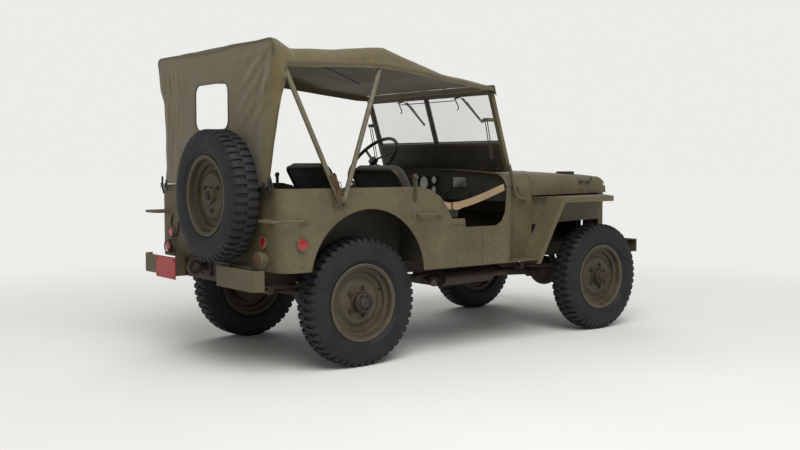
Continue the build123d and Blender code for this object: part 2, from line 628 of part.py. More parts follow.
inside_rear = REAR_PANEL + SHEET
wall = BODY_HALF - SHEET
with BuildPart() as floor:
    block((FLOOR_STEP - SHEET, COWL_REAR), (-wall, wall), (FLOOR - SHEET, FLOOR))
    block((FLOOR_STEP - SHEET, FLOOR_STEP), (-WHEELHOUSE_WIDTH, WHEELHOUSE_WIDTH), (FLOOR - SHEET, REAR_FLOOR))
    block((inside_rear, FLOOR_STEP), (-WHEELHOUSE_WIDTH, WHEELHOUSE_WIDTH), (REAR_FLOOR - SHEET, REAR_FLOOR))
    for station in (-480, -60, 330):
        block((station - 20, station + 20), (-FRAME_HALF, FRAME_HALF), (RAIL_TOP, REAR_FLOOR - SHEET))
finish(floor.part, "floor")

ARCH_BACK = -400
with BuildPart() as wheelhouses:
    for name, side in SIDES:
        inner = side * WHEELHOUSE_WIDTH
        outer = side * wall
        low, high = min(inner, outer), max(inner, outer)
        skin = inner + side * SHEET
        block((inside_rear + 6, FLOOR_STEP), (min(inner, skin), max(inner, skin)), (FLOOR, WHEELHOUSE_TOP))
        block((FLOOR_STEP - SHEET, FLOOR_STEP), (low, high), (FLOOR, WHEELHOUSE_TOP))
        block((ARCH_BACK - SHEET, ARCH_BACK), (low, high), (TAIL_BOTTOM, WHEELHOUSE_TOP))
        block((inside_rear + 6, FLOOR_STEP), (low, high), (WHEELHOUSE_TOP - SHEET, WHEELHOUSE_TOP))
        block((inside_rear + 6, ARCH_BACK), (low, high), (TAIL_BOTTOM, TAIL_BOTTOM + SHEET))
    with BuildSketch(level_plane(TAIL_BOTTOM), mode=Mode.PRIVATE) as tub_inside:
        tub_length = COWL_REAR - inside_rear + 2 * CORNER_RADIUS
        with Locations((inside_rear + tub_length / 2, 0)):
            RectangleRounded(tub_length, 2 * wall, CORNER_RADIUS - SHEET)
    extrude(tub_inside.sketch, amount=WHEELHOUSE_TOP - TAIL_BOTTOM, mode=Mode.INTERSECT)
finish(wheelhouses.part, "wheelhouses")

# ---- front end: grille, hood, fenders, lamps ------------------------------------------------
GRILLE_FACE = HOOD_FRONT - 14
GRILLE_BOTTOM = RAIL_FRONT_TOP + FIT
HEADLAMP_SIDE = 303
HEADLAMP_HEIGHT = 868
HEADLAMP_RADIUS = 78
SLOT_COUNT = 9
SLOT_PITCH = 50
SLOT_WIDTH = 33
SLOTS = (660, 985)  # bottom and top
MARKER = (303, 725, 30)  # side, height, radius
RADIATOR = ((2240, 2295), (-270, 270), (575, 1000))


def hood_half(station):
    """The hood's half-width at a station."""
    share = (station - COWL_FRONT) / (HOOD_FRONT - COWL_FRONT)
    return COWL_SECTIONS[-1][1] + share * (HOOD_NOSE_HALF - COWL_SECTIONS[-1][1])


with BuildPart() as grille:
    half = HOOD_NOSE_HALF - 12
    extrude(arched_section(GRILLE_FACE - 4, half, HOOD_NOSE_EDGE - 10, 10, GRILLE_BOTTOM, 90), amount=4)
    flange = arched_section(GRILLE_FACE - 50, half, HOOD_NOSE_EDGE - 10, 10, GRILLE_BOTTOM, 90)
    extrude(flange, amount=46)
    hollow = arched_section(GRILLE_FACE - 51, half - 4, HOOD_NOSE_EDGE - 14, 10, GRILLE_BOTTOM - 1, 86)
    extrude(hollow, amount=47, mode=Mode.SUBTRACT)
    for slot in range(SLOT_COUNT):
        middle = (slot - (SLOT_COUNT - 1) / 2) * SLOT_PITCH
        with BuildSketch(cross_plane(GRILLE_FACE - 5)) as opening:
            with Locations((middle, sum(SLOTS) / 2)):
                SlotOverall(SLOTS[1] - SLOTS[0], SLOT_WIDTH, rotation=90)
        extrude(amount=6, mode=Mode.SUBTRACT)
    for name, side in SIDES:
        for across, height, radius in ((HEADLAMP_SIDE, HEADLAMP_HEIGHT, HEADLAMP_RADIUS + FIT),
                                       (MARKER[0], MARKER[1], MARKER[2] + FIT)):
            rod((GRILLE_FACE - 5, side * across, height), (GRILLE_FACE + 1, side * across, height),
                radius, mode=Mode.SUBTRACT)
finish(grille.part, "grille")

with BuildPart() as headlamps:
    for name, side in SIDES:
        rod((GRILLE_FACE - 70, side * HEADLAMP_SIDE, HEADLAMP_HEIGHT),
            (GRILLE_FACE + 4, side * HEADLAMP_SIDE, HEADLAMP_HEIGHT), HEADLAMP_RADIUS)
        rod((GRILLE_FACE - 30, side * MARKER[0], MARKER[1]), (GRILLE_FACE + 14, side * MARKER[0], MARKER[1]),
            MARKER[2])
finish(headlamps.part, "headlamps")

with BuildPart() as radiator:
    block(*RADIATOR)
    between_rails = FRAME_HALF - RAIL_WIDTH - FIT
    block(RADIATOR[0], (-between_rails, between_rails), (575, 600))
finish(radiator.part, "radiator")

hood_rear = COWL_FRONT + HOOD_GAP


def hood_loft(inset, bottom, length):
    """The hood's outer or inner shape between its rear edge and its nose."""
    front = hood_rear + length
    loft([arched_section(hood_rear, hood_half(hood_rear) - inset, COWL_EDGE - inset, CROWN, bottom,
                         SHOULDER - inset),
          arched_section(front, hood_half(front) - inset, HOOD_NOSE_EDGE - inset, CROWN * 0.7, bottom,
                         SHOULDER - 16 - inset)], ruled=True)


with BuildPart() as hood_inside:
    hood_loft(SHEET, HOOD_BOTTOM - 10, HOOD_FRONT - hood_rear - 8)

with BuildPart() as hood:
    hood_loft(0, HOOD_BOTTOM, HOOD_FRONT - hood_rear)
    add(hood_inside.part, mode=Mode.SUBTRACT)
    block((GRILLE_FACE - 60, HOOD_FRONT + 1), (-HOOD_NOSE_HALF + 4, HOOD_NOSE_HALF - 4),
          (HOOD_BOTTOM - 1, HOOD_NOSE_EDGE - 52), mode=Mode.SUBTRACT)
    for middle in HINGE_SIDES:
        rod((COWL_FRONT, middle - HINGE_LEAF / 2, HINGE_HEIGHT), (COWL_FRONT, middle + HINGE_LEAF / 2, HINGE_HEIGHT),
            HINGE_RADIUS)
        block((COWL_FRONT, COWL_FRONT + 34), (middle - HINGE_LEAF / 2, middle + HINGE_LEAF / 2),
              (HINGE_HEIGHT - 4, HINGE_HEIGHT + 2))
        block((COWL_FRONT + 14, COWL_FRONT + 34), (middle - HINGE_LEAF / 2, middle + HINGE_LEAF / 2),
              (HINGE_HEIGHT - 34, HINGE_HEIGHT + 2))
finish(hood.part, "hood")

FENDER_INSET = 12  # inner wall inboard of the hood's side
FENDER_WALL_BOTTOM = 742
with BuildPart() as fenders:
    for name, side in SIDES:
        rear_inner = hood_half(COWL_FRONT + HOOD_GAP) - FENDER_INSET
        nose_inner = hood_half(GRILLE_FACE - 52) - FENDER_INSET
        nose_station = GRILLE_FACE - 52
        plan = [(COWL_FRONT + HOOD_GAP, side * rear_inner), (nose_station, side * nose_inner),
                (nose_station, side * (nose_inner + 30)), (FENDER_FRONT, side * (BODY_HALF - 40)),
                (FENDER_FRONT - 40, side * BODY_HALF), (FENDER_REAR - 6, side * BODY_HALF),
                (FENDER_REAR - 6, side * 604), (COWL_FRONT + HOOD_GAP, side * 604)]
        extrude(outline(level_plane(FENDER_TOP - SHEET), plan), amount=SHEET)
        inner_wall = [plan[0], plan[1], (nose_station, side * (nose_inner + SHEET)),
                      (COWL_FRONT + HOOD_GAP, side * (rear_inner + SHEET))]
        extrude(outline(level_plane(FENDER_WALL_BOTTOM), inner_wall), amount=FENDER_TOP - FENDER_WALL_BOTTOM)
        front_edge = [plan[2], plan[3], (FENDER_FRONT - SHEET, side * (BODY_HALF - 42)),
                      (nose_station - SHEET, side * (nose_inner + 30))]
        extrude(outline(level_plane(FENDER_TOP - FENDER_LIP), front_edge), amount=FENDER_LIP)
        corner_edge = [plan[3], plan[4], (FENDER_FRONT - 42, side * (BODY_HALF - SHEET)),
                       (FENDER_FRONT - SHEET, side * (BODY_HALF - 42))]
        extrude(outline(level_plane(FENDER_TOP - FENDER_LIP), corner_edge), amount=FENDER_LIP)
        run = (FENDER_REAR - FENDER_FOOT) / (FENDER_TOP - FENDER_LIP - FENDER_FOOT_HEIGHT)
        slant_top = FENDER_REAR + run * FENDER_LIP
        lip = 32
        outer = BODY_HALF if side > 0 else -BODY_HALF + SHEET
        extrude(outline(side_plane(outer), [
            (FENDER_FOOT, FENDER_FOOT_HEIGHT), (FENDER_REAR + 6, FENDER_TOP - FENDER_LIP),
            (FENDER_FRONT - 40, FENDER_TOP - FENDER_LIP), (FENDER_FRONT - 40, FENDER_TOP),
            (FENDER_REAR - 12, FENDER_TOP), (FENDER_FOOT - lip, FENDER_FOOT_HEIGHT)]), amount=SHEET)
        start = BODY_HALF if side > 0 else -602
        extrude(outline(side_plane(start), [
            (FENDER_FOOT - lip, FENDER_FOOT_HEIGHT), (FENDER_FOOT - lip + SHEET, FENDER_FOOT_HEIGHT),
            (FENDER_REAR - 12 + SHEET, FENDER_TOP), (FENDER_REAR - 12, FENDER_TOP)]), amount=BODY_HALF - 602)
        step_front = FENDER_FOOT - lip + 20
        step = [(STEP_REAR, side * 500), (STEP_REAR, side * BODY_HALF), (step_front, side * BODY_HALF),
                (step_front, side * 500)]
        extrude(outline(level_plane(SIDE_BOTTOM), step), amount=SHEET)
    add(cowl_outside.part, mode=Mode.SUBTRACT)
    block((STEP_REAR - 1, COWL_REAR), (-BODY_HALF - 1, BODY_HALF + 1), (SIDE_BOTTOM - 1, SIDE_BOTTOM + 9),
          mode=Mode.SUBTRACT)
    block((COWL_REAR, COWL_FRONT), (-590, 590), (SIDE_BOTTOM - 1, SIDE_BOTTOM + 9), mode=Mode.SUBTRACT)
finish(fenders.part, "fenders")

# ---- windscreen -----------------------------------------------------------------------------
slope = hypot(1, SCREEN_LEAN)


def screen_plane(lift=0):
    """The windscreen's plane: sketches take (side, height / rise), extrusions go forward."""
    foot = Vector(*at(SCREEN_FOOT, 0, SCREEN_FOOT_HEIGHT))
    normal = Vector(1, 0, SCREEN_LEAN).normalized()
    return Plane(origin=foot + normal * lift, x_dir=(0, 1, 0), z_dir=normal)


def screen_rise(height):
    """How far up the windscreen's plane a height lies."""
    return (height - SCREEN_FOOT_HEIGHT) * slope


def screen_panel(half, low, high, radius=0, mode=Mode.ADD):
    """A rectangle on the windscreen's plane between two heights."""
    with Locations((0, (screen_rise(low) + screen_rise(high)) / 2)):
        if radius:
            RectangleRounded(2 * half, screen_rise(high) - screen_rise(low), radius, mode=mode)
        else:
            Rectangle(2 * half, screen_rise(high) - screen_rise(low), mode=mode)


POST = 30  # face width of the windscreen's frame
CENTRE_POST = 22
with BuildPart() as windscreen_frame:
    with BuildSketch(screen_plane(-SCREEN_TUBE / 2)):
        screen_panel(SCREEN_HALF, SCREEN_BOTTOM, SCREEN_TOP, 30)
        screen_panel(SCREEN_HALF - POST, GLASS_BOTTOM, GLASS_TOP, mode=Mode.SUBTRACT)
    extrude(amount=SCREEN_TUBE)
    with BuildSketch(screen_plane(4)):
        screen_panel(SCREEN_HALF - POST, SCREEN_BOTTOM + 26, GLASS_BOTTOM - 26, mode=Mode.ADD)
    extrude(amount=SCREEN_TUBE, mode=Mode.SUBTRACT)
    with BuildSketch(screen_plane(-SCREEN_TUBE / 2)):
        screen_panel(CENTRE_POST / 2, GLASS_BOTTOM - 2, GLASS_TOP + 2)
    extrude(amount=SCREEN_TUBE)
    for name, side in SIDES:
        arm_x = SCREEN_FOOT - SCREEN_LEAN * (1130 - SCREEN_FOOT_HEIGHT)
        bent_bar([(arm_x, side * ARM_SIDE, 1130),
                  (SCREEN_FOOT + SCREEN_LEAN * (SCREEN_FOOT_HEIGHT - 940), side * ARM_SIDE, 940),
                  (1290, side * (ARM_SIDE - 14), 912), (1345, side * (ARM_SIDE - 22), 912)], 11, 30)
        rod((1335, side * (ARM_SIDE - 22), 912), (1335, side * 606, 912), 14)
    add(cowl_outside.part, mode=Mode.SUBTRACT)
finish(windscreen_frame.part, "windscreen_frame")

with BuildPart() as windscreen_glass:
    for name, side in SIDES:
        with BuildSketch(screen_plane(-3)):
            pane = SCREEN_HALF - POST - CENTRE_POST / 2
            middle = side * (CENTRE_POST / 2 + pane / 2)
            with Locations((middle, (screen_rise(GLASS_BOTTOM) + screen_rise(GLASS_TOP)) / 2)):
                Rectangle(pane, screen_rise(GLASS_TOP) - screen_rise(GLASS_BOTTOM))
        extrude(amount=6)
finish(windscreen_glass.part, "windscreen_glass")

# ---- steering -------------------------------------------------------------------------------
hub_point = Vector(*at(WHEEL_HUB, STEERING_SIDE, WHEEL_HUB_HEIGHT))
column_axis = Vector(COLUMN_RUN, 0, -COLUMN_FALL).normalized()


def on_column(distance):
    """A point down the column from the steering wheel's hub, as station, side and height."""
    return (WHEEL_HUB + column_axis.X * distance, STEERING_SIDE, WHEEL_HUB_HEIGHT + column_axis.Z * distance)


column_length = hypot(COLUMN_RUN, COLUMN_FALL)
with BuildPart() as steering_column:
    rod(on_column(60), on_column(column_length), COLUMN_RADIUS)
    block((COLUMN_FOOT - 50, COLUMN_FOOT + 50), (FRAME_HALF, FRAME_HALF + 55),
          (COLUMN_FOOT_HEIGHT - 50, COLUMN_FOOT_HEIGHT + 30))
    rod(on_column(20), on_column(60), 8)
    rod(on_column(230), on_column(232), 24)
    block((COWL_REAR + 24, COWL_REAR + 34), (STEERING_SIDE - 12, STEERING_SIDE + 12), (990, 1070))
finish(steering_column.part, "steering_column")

RIM_SECTION = 12
SPOKE_COUNT = 3
with BuildPart() as steering_wheel:
    wheel_plane = Plane(origin=(0, 0, 0), x_dir=(0, 1, 0), z_dir=-column_axis)
    with BuildSketch(Plane.XZ):
        with Locations((WHEEL_RIM - RIM_SECTION, 0)):
            Circle(RIM_SECTION)
    revolve(axis=Axis.Z)
    with PolarLocations(0, SPOKE_COUNT, start_angle=90):
        with Locations((WHEEL_RIM / 2 - 6, 0, -4)):
            Box(WHEEL_RIM - 24, 18, 6)
    with Locations((0, 0, -6)):
        Cylinder(30, 34)
    with Locations((0, 0, -20)):
        Cylinder(8 + FIT, 30, mode=Mode.SUBTRACT)
steering_wheel_part = Plane(origin=hub_point, x_dir=(0, 1, 0), z_dir=-column_axis).location * steering_wheel.part
finish(steering_wheel_part, "steering_wheel")

# ---- cabin: tank, seats, levers -------------------------------------------------------------
SEAT_SIDE = 375
SEAT_HALF = 222
SEAT_LENGTH = (434, 800)  # stations of the cushion
BACK_FOOT = 402  # station of the seat back's tubes up to the top of the wheelhouse
BACK_BEND = 925
BACK_HEAD = 292
CUSHION = (798, 872)
BACK_TOP = (1126, 1112)  # driver's, passenger's
TUBE = 11
BENCH_FRONT = -40
BENCH_REAR = -430
BENCH_TOP = 880
BENCH_HALF = 440
BENCH_HEAD = -500
BENCH_HEAD_TOP = 1090

with BuildPart() as fuel_tank:
    block((410, 790), (SEAT_SIDE - SEAT_HALF + 22, SEAT_SIDE + SEAT_HALF - 22), (FLOOR, 765))
    rod((560, SEAT_SIDE, 765), (560, SEAT_SIDE, 785), 40)
finish(fuel_tank.part, "fuel_tank")

with BuildPart() as seat_frames:
    for side, top in ((SEAT_SIDE, BACK_TOP[0]), (-SEAT_SIDE, BACK_TOP[1])):
        left, right = side + SEAT_HALF, side - SEAT_HALF
        base = CUSHION[0] - TUBE - FIT
        bent_bar([(SEAT_LENGTH[1], left, base), (BACK_FOOT, left, base), (BACK_FOOT, left, BACK_BEND),
                  (BACK_HEAD, left, top - TUBE), (BACK_HEAD, right, top - TUBE), (BACK_FOOT, right, BACK_BEND),
                  (BACK_FOOT, right, base), (SEAT_LENGTH[1], right, base)], TUBE, 40)
        rod((SEAT_LENGTH[1] - TUBE, left, base), (SEAT_LENGTH[1] - TUBE, right, base), TUBE)
        for across in (left, right):
            for station in (SEAT_LENGTH[1] - 20, SEAT_LENGTH[0] + 40):
                rod((station, across, base), (station, across, FLOOR), TUBE)
    rail = BENCH_TOP - TUBE
    for across in (-BENCH_HALF, BENCH_HALF):
        rod((BENCH_FRONT, across, REAR_FLOOR), (BENCH_FRONT, across, rail), TUBE)
        rod((BENCH_FRONT, across, rail), (BENCH_REAR, across, rail), TUBE)
        rod((BENCH_REAR, across, rail), (BENCH_HEAD, across, BENCH_HEAD_TOP), TUBE)
        rod((BENCH_REAR, across, rail), (BENCH_REAR, across, REAR_FLOOR), TUBE)
    for station, height in ((BENCH_HEAD, BENCH_HEAD_TOP), (BENCH_FRONT, rail), (BENCH_REAR, rail)):
        rod((station, -BENCH_HALF, height), (station, BENCH_HALF, height), TUBE)
finish(seat_frames.part, "seat_frames")


def pad(stations, widths, heights, round_by):
    """A cushion with rounded edges."""
    with BuildPart() as cushion:
        block(stations, widths, heights)
        fillet(cushion.edges(), round_by)
    return cushion.part


def back_pad(foot, head, middle, half, start, length):
    """A seat back's pad on the leaning tubes that run from a foot to a head (station, height)."""
    lean = Vector(head[0] - foot[0], head[1] - foot[1], 0).normalized()
    forward = Vector(lean.Y, -lean.X, 0)
    low = Vector(*foot, 0) + lean * start + forward * (TUBE + FIT)
    corners = [low, low + lean * length, low + lean * length + forward * 40, low + forward * 40]
    with BuildPart() as cushion:
        extrude(outline(side_plane(middle + half), [(corner.X, corner.Y) for corner in corners]), amount=2 * half)
        fillet(cushion.edges(), 10)
    return cushion.part


with BuildPart() as front_seat_pads:
    for side, top in ((SEAT_SIDE, BACK_TOP[0]), (-SEAT_SIDE, BACK_TOP[1])):
        add(pad(SEAT_LENGTH, (side - SEAT_HALF - 18, side + SEAT_HALF + 18), CUSHION, 18))
        add(back_pad((BACK_FOOT, BACK_BEND), (BACK_HEAD, top - TUBE), side, SEAT_HALF + 10, 14, 172))
finish(front_seat_pads.part, "front_seat_pads")

with BuildPart() as rear_seat_pads:
    add(pad((BENCH_REAR + TUBE + 14, BENCH_FRONT + 12), (-BENCH_HALF - 18, BENCH_HALF + 18),
            (BENCH_TOP + FIT, BENCH_TOP + 60), 16))
    add(back_pad((BENCH_REAR, BENCH_TOP - TUBE), (BENCH_HEAD, BENCH_HEAD_TOP), 0, BENCH_HALF + 12, 92, 128))
finish(rear_seat_pads.part, "rear_seat_pads")

LEVERS = ((1100, 10, 1150, 60, 860), (1060, -60, 1085, -60, 800), (1040, -100, 1065, -100, 790))
PEDALS = (470, 330, 250)  # sides
PEDAL_HEIGHT = 660
with BuildPart() as levers_and_pedals:
    for foot, foot_side, tip, tip_side, tip_height in LEVERS:
        rod((foot, foot_side, FLOOR), (foot - 60, tip_side, tip_height), 8)
        with Locations(at(foot - 60, tip_side, tip_height)):
            Sphere(19)
    pedal_root = TOE_REAR + (PEDAL_HEIGHT - FLOOR) * (FIREWALL - TOE_REAR) / (TOE_TOP - FLOOR)
    for across in PEDALS:
        rod((pedal_root, across, PEDAL_HEIGHT), (pedal_root - 70, across, PEDAL_HEIGHT + 80), 7)
        block((pedal_root - 80, pedal_root - 70), (across - 28, across + 28), (PEDAL_HEIGHT + 50, PEDAL_HEIGHT + 110))
finish(levers_and_pedals.part - cowl.part - floor.part, "levers_and_pedals")

# ---- canvas top and its bows ----------------------------------------------------------------
with BuildPart() as top_bows:
    for station, height, foot in ((REAR_BOW, REAR_BOW_TOP, BOW_PIVOT - 14), (FRONT_BOW, FRONT_BOW_TOP, BOW_PIVOT + 20)):
        bent_bar([(foot, BOW_PIVOT_SIDE, BOW_PIVOT_HEIGHT), (station, BOW_TOP_SIDE, height),
                  (station, -BOW_TOP_SIDE, height), (foot, -BOW_PIVOT_SIDE, BOW_PIVOT_HEIGHT)],
                 BOW_RADIUS, BOW_BEND)
        for name, side in SIDES:
            with Locations(at(foot, side * BOW_PIVOT_SIDE, BOW_PIVOT_HEIGHT)):
                Sphere(BOW_KNOB)
finish(top_bows.part, "top_bows")

ROOF = (  # station, half-width at the foot, at the skirt and at the top edge, height of the top
    (REAR_BOW - BOW_RADIUS - FIT, 668, 714, 699, REAR_BOW_TOP + BOW_RADIUS + FIT),
    (FRONT_BOW, 668, 712, 692, FRONT_BOW_TOP + BOW_RADIUS + FIT),
    (SCREEN_FOOT - SCREEN_LEAN * (SCREEN_TOP - SCREEN_FOOT_HEIGHT) + 2, 655, 668, 660, SCREEN_TOP + 20))
SKIRT = 1645
ROOF_ROUND = 45
CURTAIN_BOTTOM = SIDE_TOP + 8


def roof_section(station, foot, skirt, top_half, top, inset):
    """A section of the canvas: a curtain, a skirt and a roof with rounded edges."""
    with BuildSketch(cross_plane(station), mode=Mode.PRIVATE) as sketch:
        with BuildLine():
            low = 900 - inset
            up = top + CANVAS - inset
            turn = ROOF_ROUND * (1 - cos(pi / 4))
            foot_half, skirt_half, edge = foot + CANVAS - inset, skirt + CANVAS - inset, top_half + CANVAS - inset
            left = Polyline((-foot_half, low), (-skirt_half, SKIRT - 60), (-edge, up - ROOF_ROUND))
            left_arc = ThreePointArc(left @ 1, (-edge + turn, up - turn), (-edge + ROOF_ROUND, up))
            roof = Line(left_arc @ 1, (edge - ROOF_ROUND, up))
            right_arc = ThreePointArc(roof @ 1, (edge - turn, up - turn), (edge, up - ROOF_ROUND))
            right = Polyline(right_arc @ 1, (skirt_half, SKIRT - 60), (foot_half, low))
            Line(right @ 1, left @ 0)
        make_face()
    return sketch.sketch


REAR_WINDOW = ((-185, 185), (1312, 1600), 28)  # sides, heights, corner radius
with BuildPart() as canvas_inside:
    loft([roof_section(*row, CANVAS) for row in ROOF], ruled=True)

with BuildPart() as canvas_top:
    rear_outer = (ROOF[0][0] - CANVAS, *ROOF[0][1:])
    loft([roof_section(*row, 0) for row in (rear_outer, *ROOF[1:])], ruled=True)
    add(canvas_inside.part, mode=Mode.SUBTRACT)
    rear_line = rear_outer[0] - 50
    extrude(outline(side_plane(900), [
        (rear_line, 700), (rear_line, CURTAIN_BOTTOM), (rear_outer[0] + 60, CURTAIN_BOTTOM),
        (-500, 1500), (-462, SKIRT), (FRONT_BOW, SKIRT + 28), (ROOF[2][0] + 10, SCREEN_TOP - 4),
        (ROOF[2][0] + 10, 700)]), amount=1800, mode=Mode.SUBTRACT)
    with BuildSketch(cross_plane(rear_line)):
        with Locations((0, sum(REAR_WINDOW[1]) / 2)):
            RectangleRounded(REAR_WINDOW[0][1] - REAR_WINDOW[0][0], REAR_WINDOW[1][1] - REAR_WINDOW[1][0],
                             REAR_WINDOW[2])
    extrude(amount=100, mode=Mode.SUBTRACT)
finish(canvas_top.part, "canvas_top")

# ---- rear lights, handles, straps -----------------------------------------------------------
with BuildPart() as rear_lights:
    for name, side in SIDES:
        rod((REAR_PANEL, side * 557, 626), (REAR_PANEL - 34, side * 557, 626), 45)
        rod((REAR_PANEL, side * 560, 718), (REAR_PANEL - 12, side * 560, 718), 35)
        rod((-446, side * BODY_HALF, 715), (-446, side * (BODY_HALF + 12), 715), 35)
finish(rear_lights.part, "rear_lights")

HANDLE = 8
HANDLE_SIDE = 779.5
with BuildPart() as grab_handles:
    for name, side in SIDES:
        bent_bar([(330, side * BODY_HALF, 847), (330, side * HANDLE_SIDE, 847), (498, side * HANDLE_SIDE, 847),
                  (498, side * BODY_HALF, 847)], HANDLE, 14)
        bent_bar([(-440, side * BODY_HALF, 840), (-440, side * HANDLE_SIDE, 840), (-640, side * HANDLE_SIDE, 840),
                  (-640, side * 628, 840), (REAR_PANEL, side * 628, 840)], HANDLE, 24)
finish(grab_handles.part, "grab_handles")

STRAP_WIDTH = 42
with BuildPart() as safety_straps:
    for name, side in SIDES:
        inner = side * (BODY_HALF - SHEET - FIT)
        start = inner if side > 0 else inner + 3
        with BuildSketch(side_plane(start)):
            with BuildLine():
                FilletPolyline((530, 905), (664, 889), (1045, 1000), radius=60)
            trace(line_width=STRAP_WIDTH)
        extrude(amount=3)
finish(safety_straps.part, "safety_straps")
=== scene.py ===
# %% [markdown]
# # A quarter-ton 4x4 utility car
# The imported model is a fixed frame: its solids stay where they are and carry the motions. This
# lesson dresses it. Rigid solids keep their shape and get a painted or cast finish, and soft
# solids such as the canvas top and the seat pads are replaced by cloth. Small parts such as nuts,
# lenses and catches are added on top.

# %% Load the frame
import json
import math
from contextlib import contextmanager

import bpy
import numpy as np
from mathutils import Matrix, Vector

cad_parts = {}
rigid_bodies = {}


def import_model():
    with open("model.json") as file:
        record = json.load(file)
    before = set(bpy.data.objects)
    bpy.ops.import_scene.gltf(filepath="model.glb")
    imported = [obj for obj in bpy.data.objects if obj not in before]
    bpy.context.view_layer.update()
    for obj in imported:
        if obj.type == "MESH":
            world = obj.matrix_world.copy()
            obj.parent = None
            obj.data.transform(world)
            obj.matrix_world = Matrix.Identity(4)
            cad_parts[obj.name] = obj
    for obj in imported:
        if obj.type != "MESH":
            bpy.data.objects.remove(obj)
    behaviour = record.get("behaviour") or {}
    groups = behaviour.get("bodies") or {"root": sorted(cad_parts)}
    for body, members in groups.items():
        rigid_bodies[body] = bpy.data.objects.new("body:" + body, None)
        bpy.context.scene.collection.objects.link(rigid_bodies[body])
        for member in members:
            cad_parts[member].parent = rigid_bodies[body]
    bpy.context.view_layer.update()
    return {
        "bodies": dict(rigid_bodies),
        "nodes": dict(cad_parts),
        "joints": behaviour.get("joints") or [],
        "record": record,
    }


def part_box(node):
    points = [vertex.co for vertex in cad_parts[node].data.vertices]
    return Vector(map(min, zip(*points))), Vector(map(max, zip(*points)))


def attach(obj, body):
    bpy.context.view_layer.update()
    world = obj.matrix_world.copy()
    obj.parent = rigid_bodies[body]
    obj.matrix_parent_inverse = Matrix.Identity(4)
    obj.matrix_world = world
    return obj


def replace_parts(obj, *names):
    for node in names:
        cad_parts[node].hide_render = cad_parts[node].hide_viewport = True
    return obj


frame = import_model()
NODES = frame["nodes"]
SIDES = {"left": 1, "right": -1}
BOTH = tuple(SIDES.values())


def middle(node):
    """The middle of a node's box."""
    low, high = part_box(node)
    return (Vector(low) + Vector(high)) / 2


REAR_AXLE = middle("tyre_rear_right").x


def at(station, side, height):
    """A point from its station ahead of the rear axle, its side and its height, in metres."""
    return Vector((REAR_AXLE + station, side, height))


# %% [markdown]
# ## Finishes
# A finish is a small tree of shader nodes. Two helpers keep the trees readable: a wire stands for
# one socket and takes Python's arithmetic, and a finish adds any node through one method.
# Patterns read Object coordinates in metres, so that a scale of 40 means spots of about 25 mm on
# every piece.

# %% Wires and finishes


class Wire:
    """One output socket of a finish. Arithmetic on it adds Math nodes."""

    def __init__(self, finish, socket):
        self.finish = finish
        self.socket = socket

    def math(self, operation, *values):
        return self.finish.node("ShaderNodeMath", {"operation": operation}, dict(enumerate(values)))

    def __add__(self, other):
        return self.math("ADD", self, other)

    __radd__ = __add__

    def __sub__(self, other):
        return self.math("SUBTRACT", self, other)

    def __rsub__(self, other):
        return self.math("SUBTRACT", other, self)

    def __mul__(self, other):
        return self.math("MULTIPLY", self, other)

    __rmul__ = __mul__

    def __truediv__(self, other):
        return self.math("DIVIDE", self, other)

    def sine(self):
        """The sine of an angle in radians."""
        return self.math("SINE", self)


def srgb(red, green, blue):
    """A colour written as 0 to 255 turned into the shader's linear values."""
    values = [channel / 255 for channel in (red, green, blue)]
    return tuple(v / 12.92 if v <= 0.04045 else ((v + 0.055) / 1.055) ** 2.4 for v in values)


class Finish:
    """A material whose constants sit on the shader and whose patterns are wired in."""

    def __init__(self, name, colour, roughness, **sockets):
        self.material = bpy.data.materials.new(name)
        self.material.use_nodes = True
        self.tree = self.material.node_tree
        self.shader = self.tree.nodes["Principled BSDF"]
        self.set("Base Color", (*colour, 1))
        self.set("Roughness", roughness)
        for socket, value in sockets.items():
            self.set(socket.replace("_", " ").title().replace("Ior", "IOR"), value)
        self.object_place = self.node("ShaderNodeTexCoord", {}, {}, "Object")
        self.height = None

    def set(self, socket, value):
        """Puts a constant or a wire on one of the shader's sockets."""
        self.put(self.shader.inputs[socket], value)

    def put(self, socket, value):
        if isinstance(value, Wire):
            self.tree.links.new(value.socket, socket)
        else:
            socket.default_value = value

    def node(self, kind, settings, inputs, output=0):
        """Adds a node: its settings first, then its sockets' values or wires."""
        node = self.tree.nodes.new(kind)
        for key, value in settings.items():
            if key == "stops":
                ramp = node.color_ramp
                for number, (place, level) in enumerate(value):
                    stop = ramp.elements[number] if number < 2 else ramp.elements.new(place)
                    stop.position = place
                    stop.color = (level, level, level, 1)
            else:
                setattr(node, key, value)
        for key, value in inputs.items():
            self.put(node.inputs[key], value)
        return Wire(self, node.outputs[output])

    def stretched(self, scale):
        """Object coordinates scaled differently along each axis."""
        return self.node("ShaderNodeMapping", {"vector_type": "POINT"},
                         {"Vector": self.object_place, "Scale": scale})

    def noise(self, scale, detail=4.0, place=None, roughness=0.55):
        return self.node("ShaderNodeTexNoise", {"noise_dimensions": "3D"},
                         {"Vector": place or self.object_place, "Scale": scale, "Detail": detail,
                          "Roughness": roughness})

    def ramp(self, wire, low, high):
        """0 below low, 1 above high."""
        return self.node("ShaderNodeValToRGB", {"stops": ((low, 0.0), (high, 1.0))}, {"Fac": wire})

    def blend(self, share, first, second):
        """A colour between two colours or wires."""
        first, second = [colour if isinstance(colour, Wire) else (*colour, 1)
                         for colour in (first, second)]
        return self.node("ShaderNodeMix", {"data_type": "RGBA"}, {0: share, 6: first, 7: second}, 2)

    def axis(self, name):
        """The place along one axis, in metres."""
        return self.node("ShaderNodeSeparateXYZ", {}, {0: self.object_place}, name)

    def bump(self, height, depth):
        """Raises the surface, and any bump before it, by a pattern of 0 to 1 times a depth."""
        inputs = {"Height": height, "Distance": depth, "Strength": 1.0}
        if self.height:
            inputs["Normal"] = self.height
        self.height = self.node("ShaderNodeBump", {}, inputs)
        self.set("Normal", self.height)


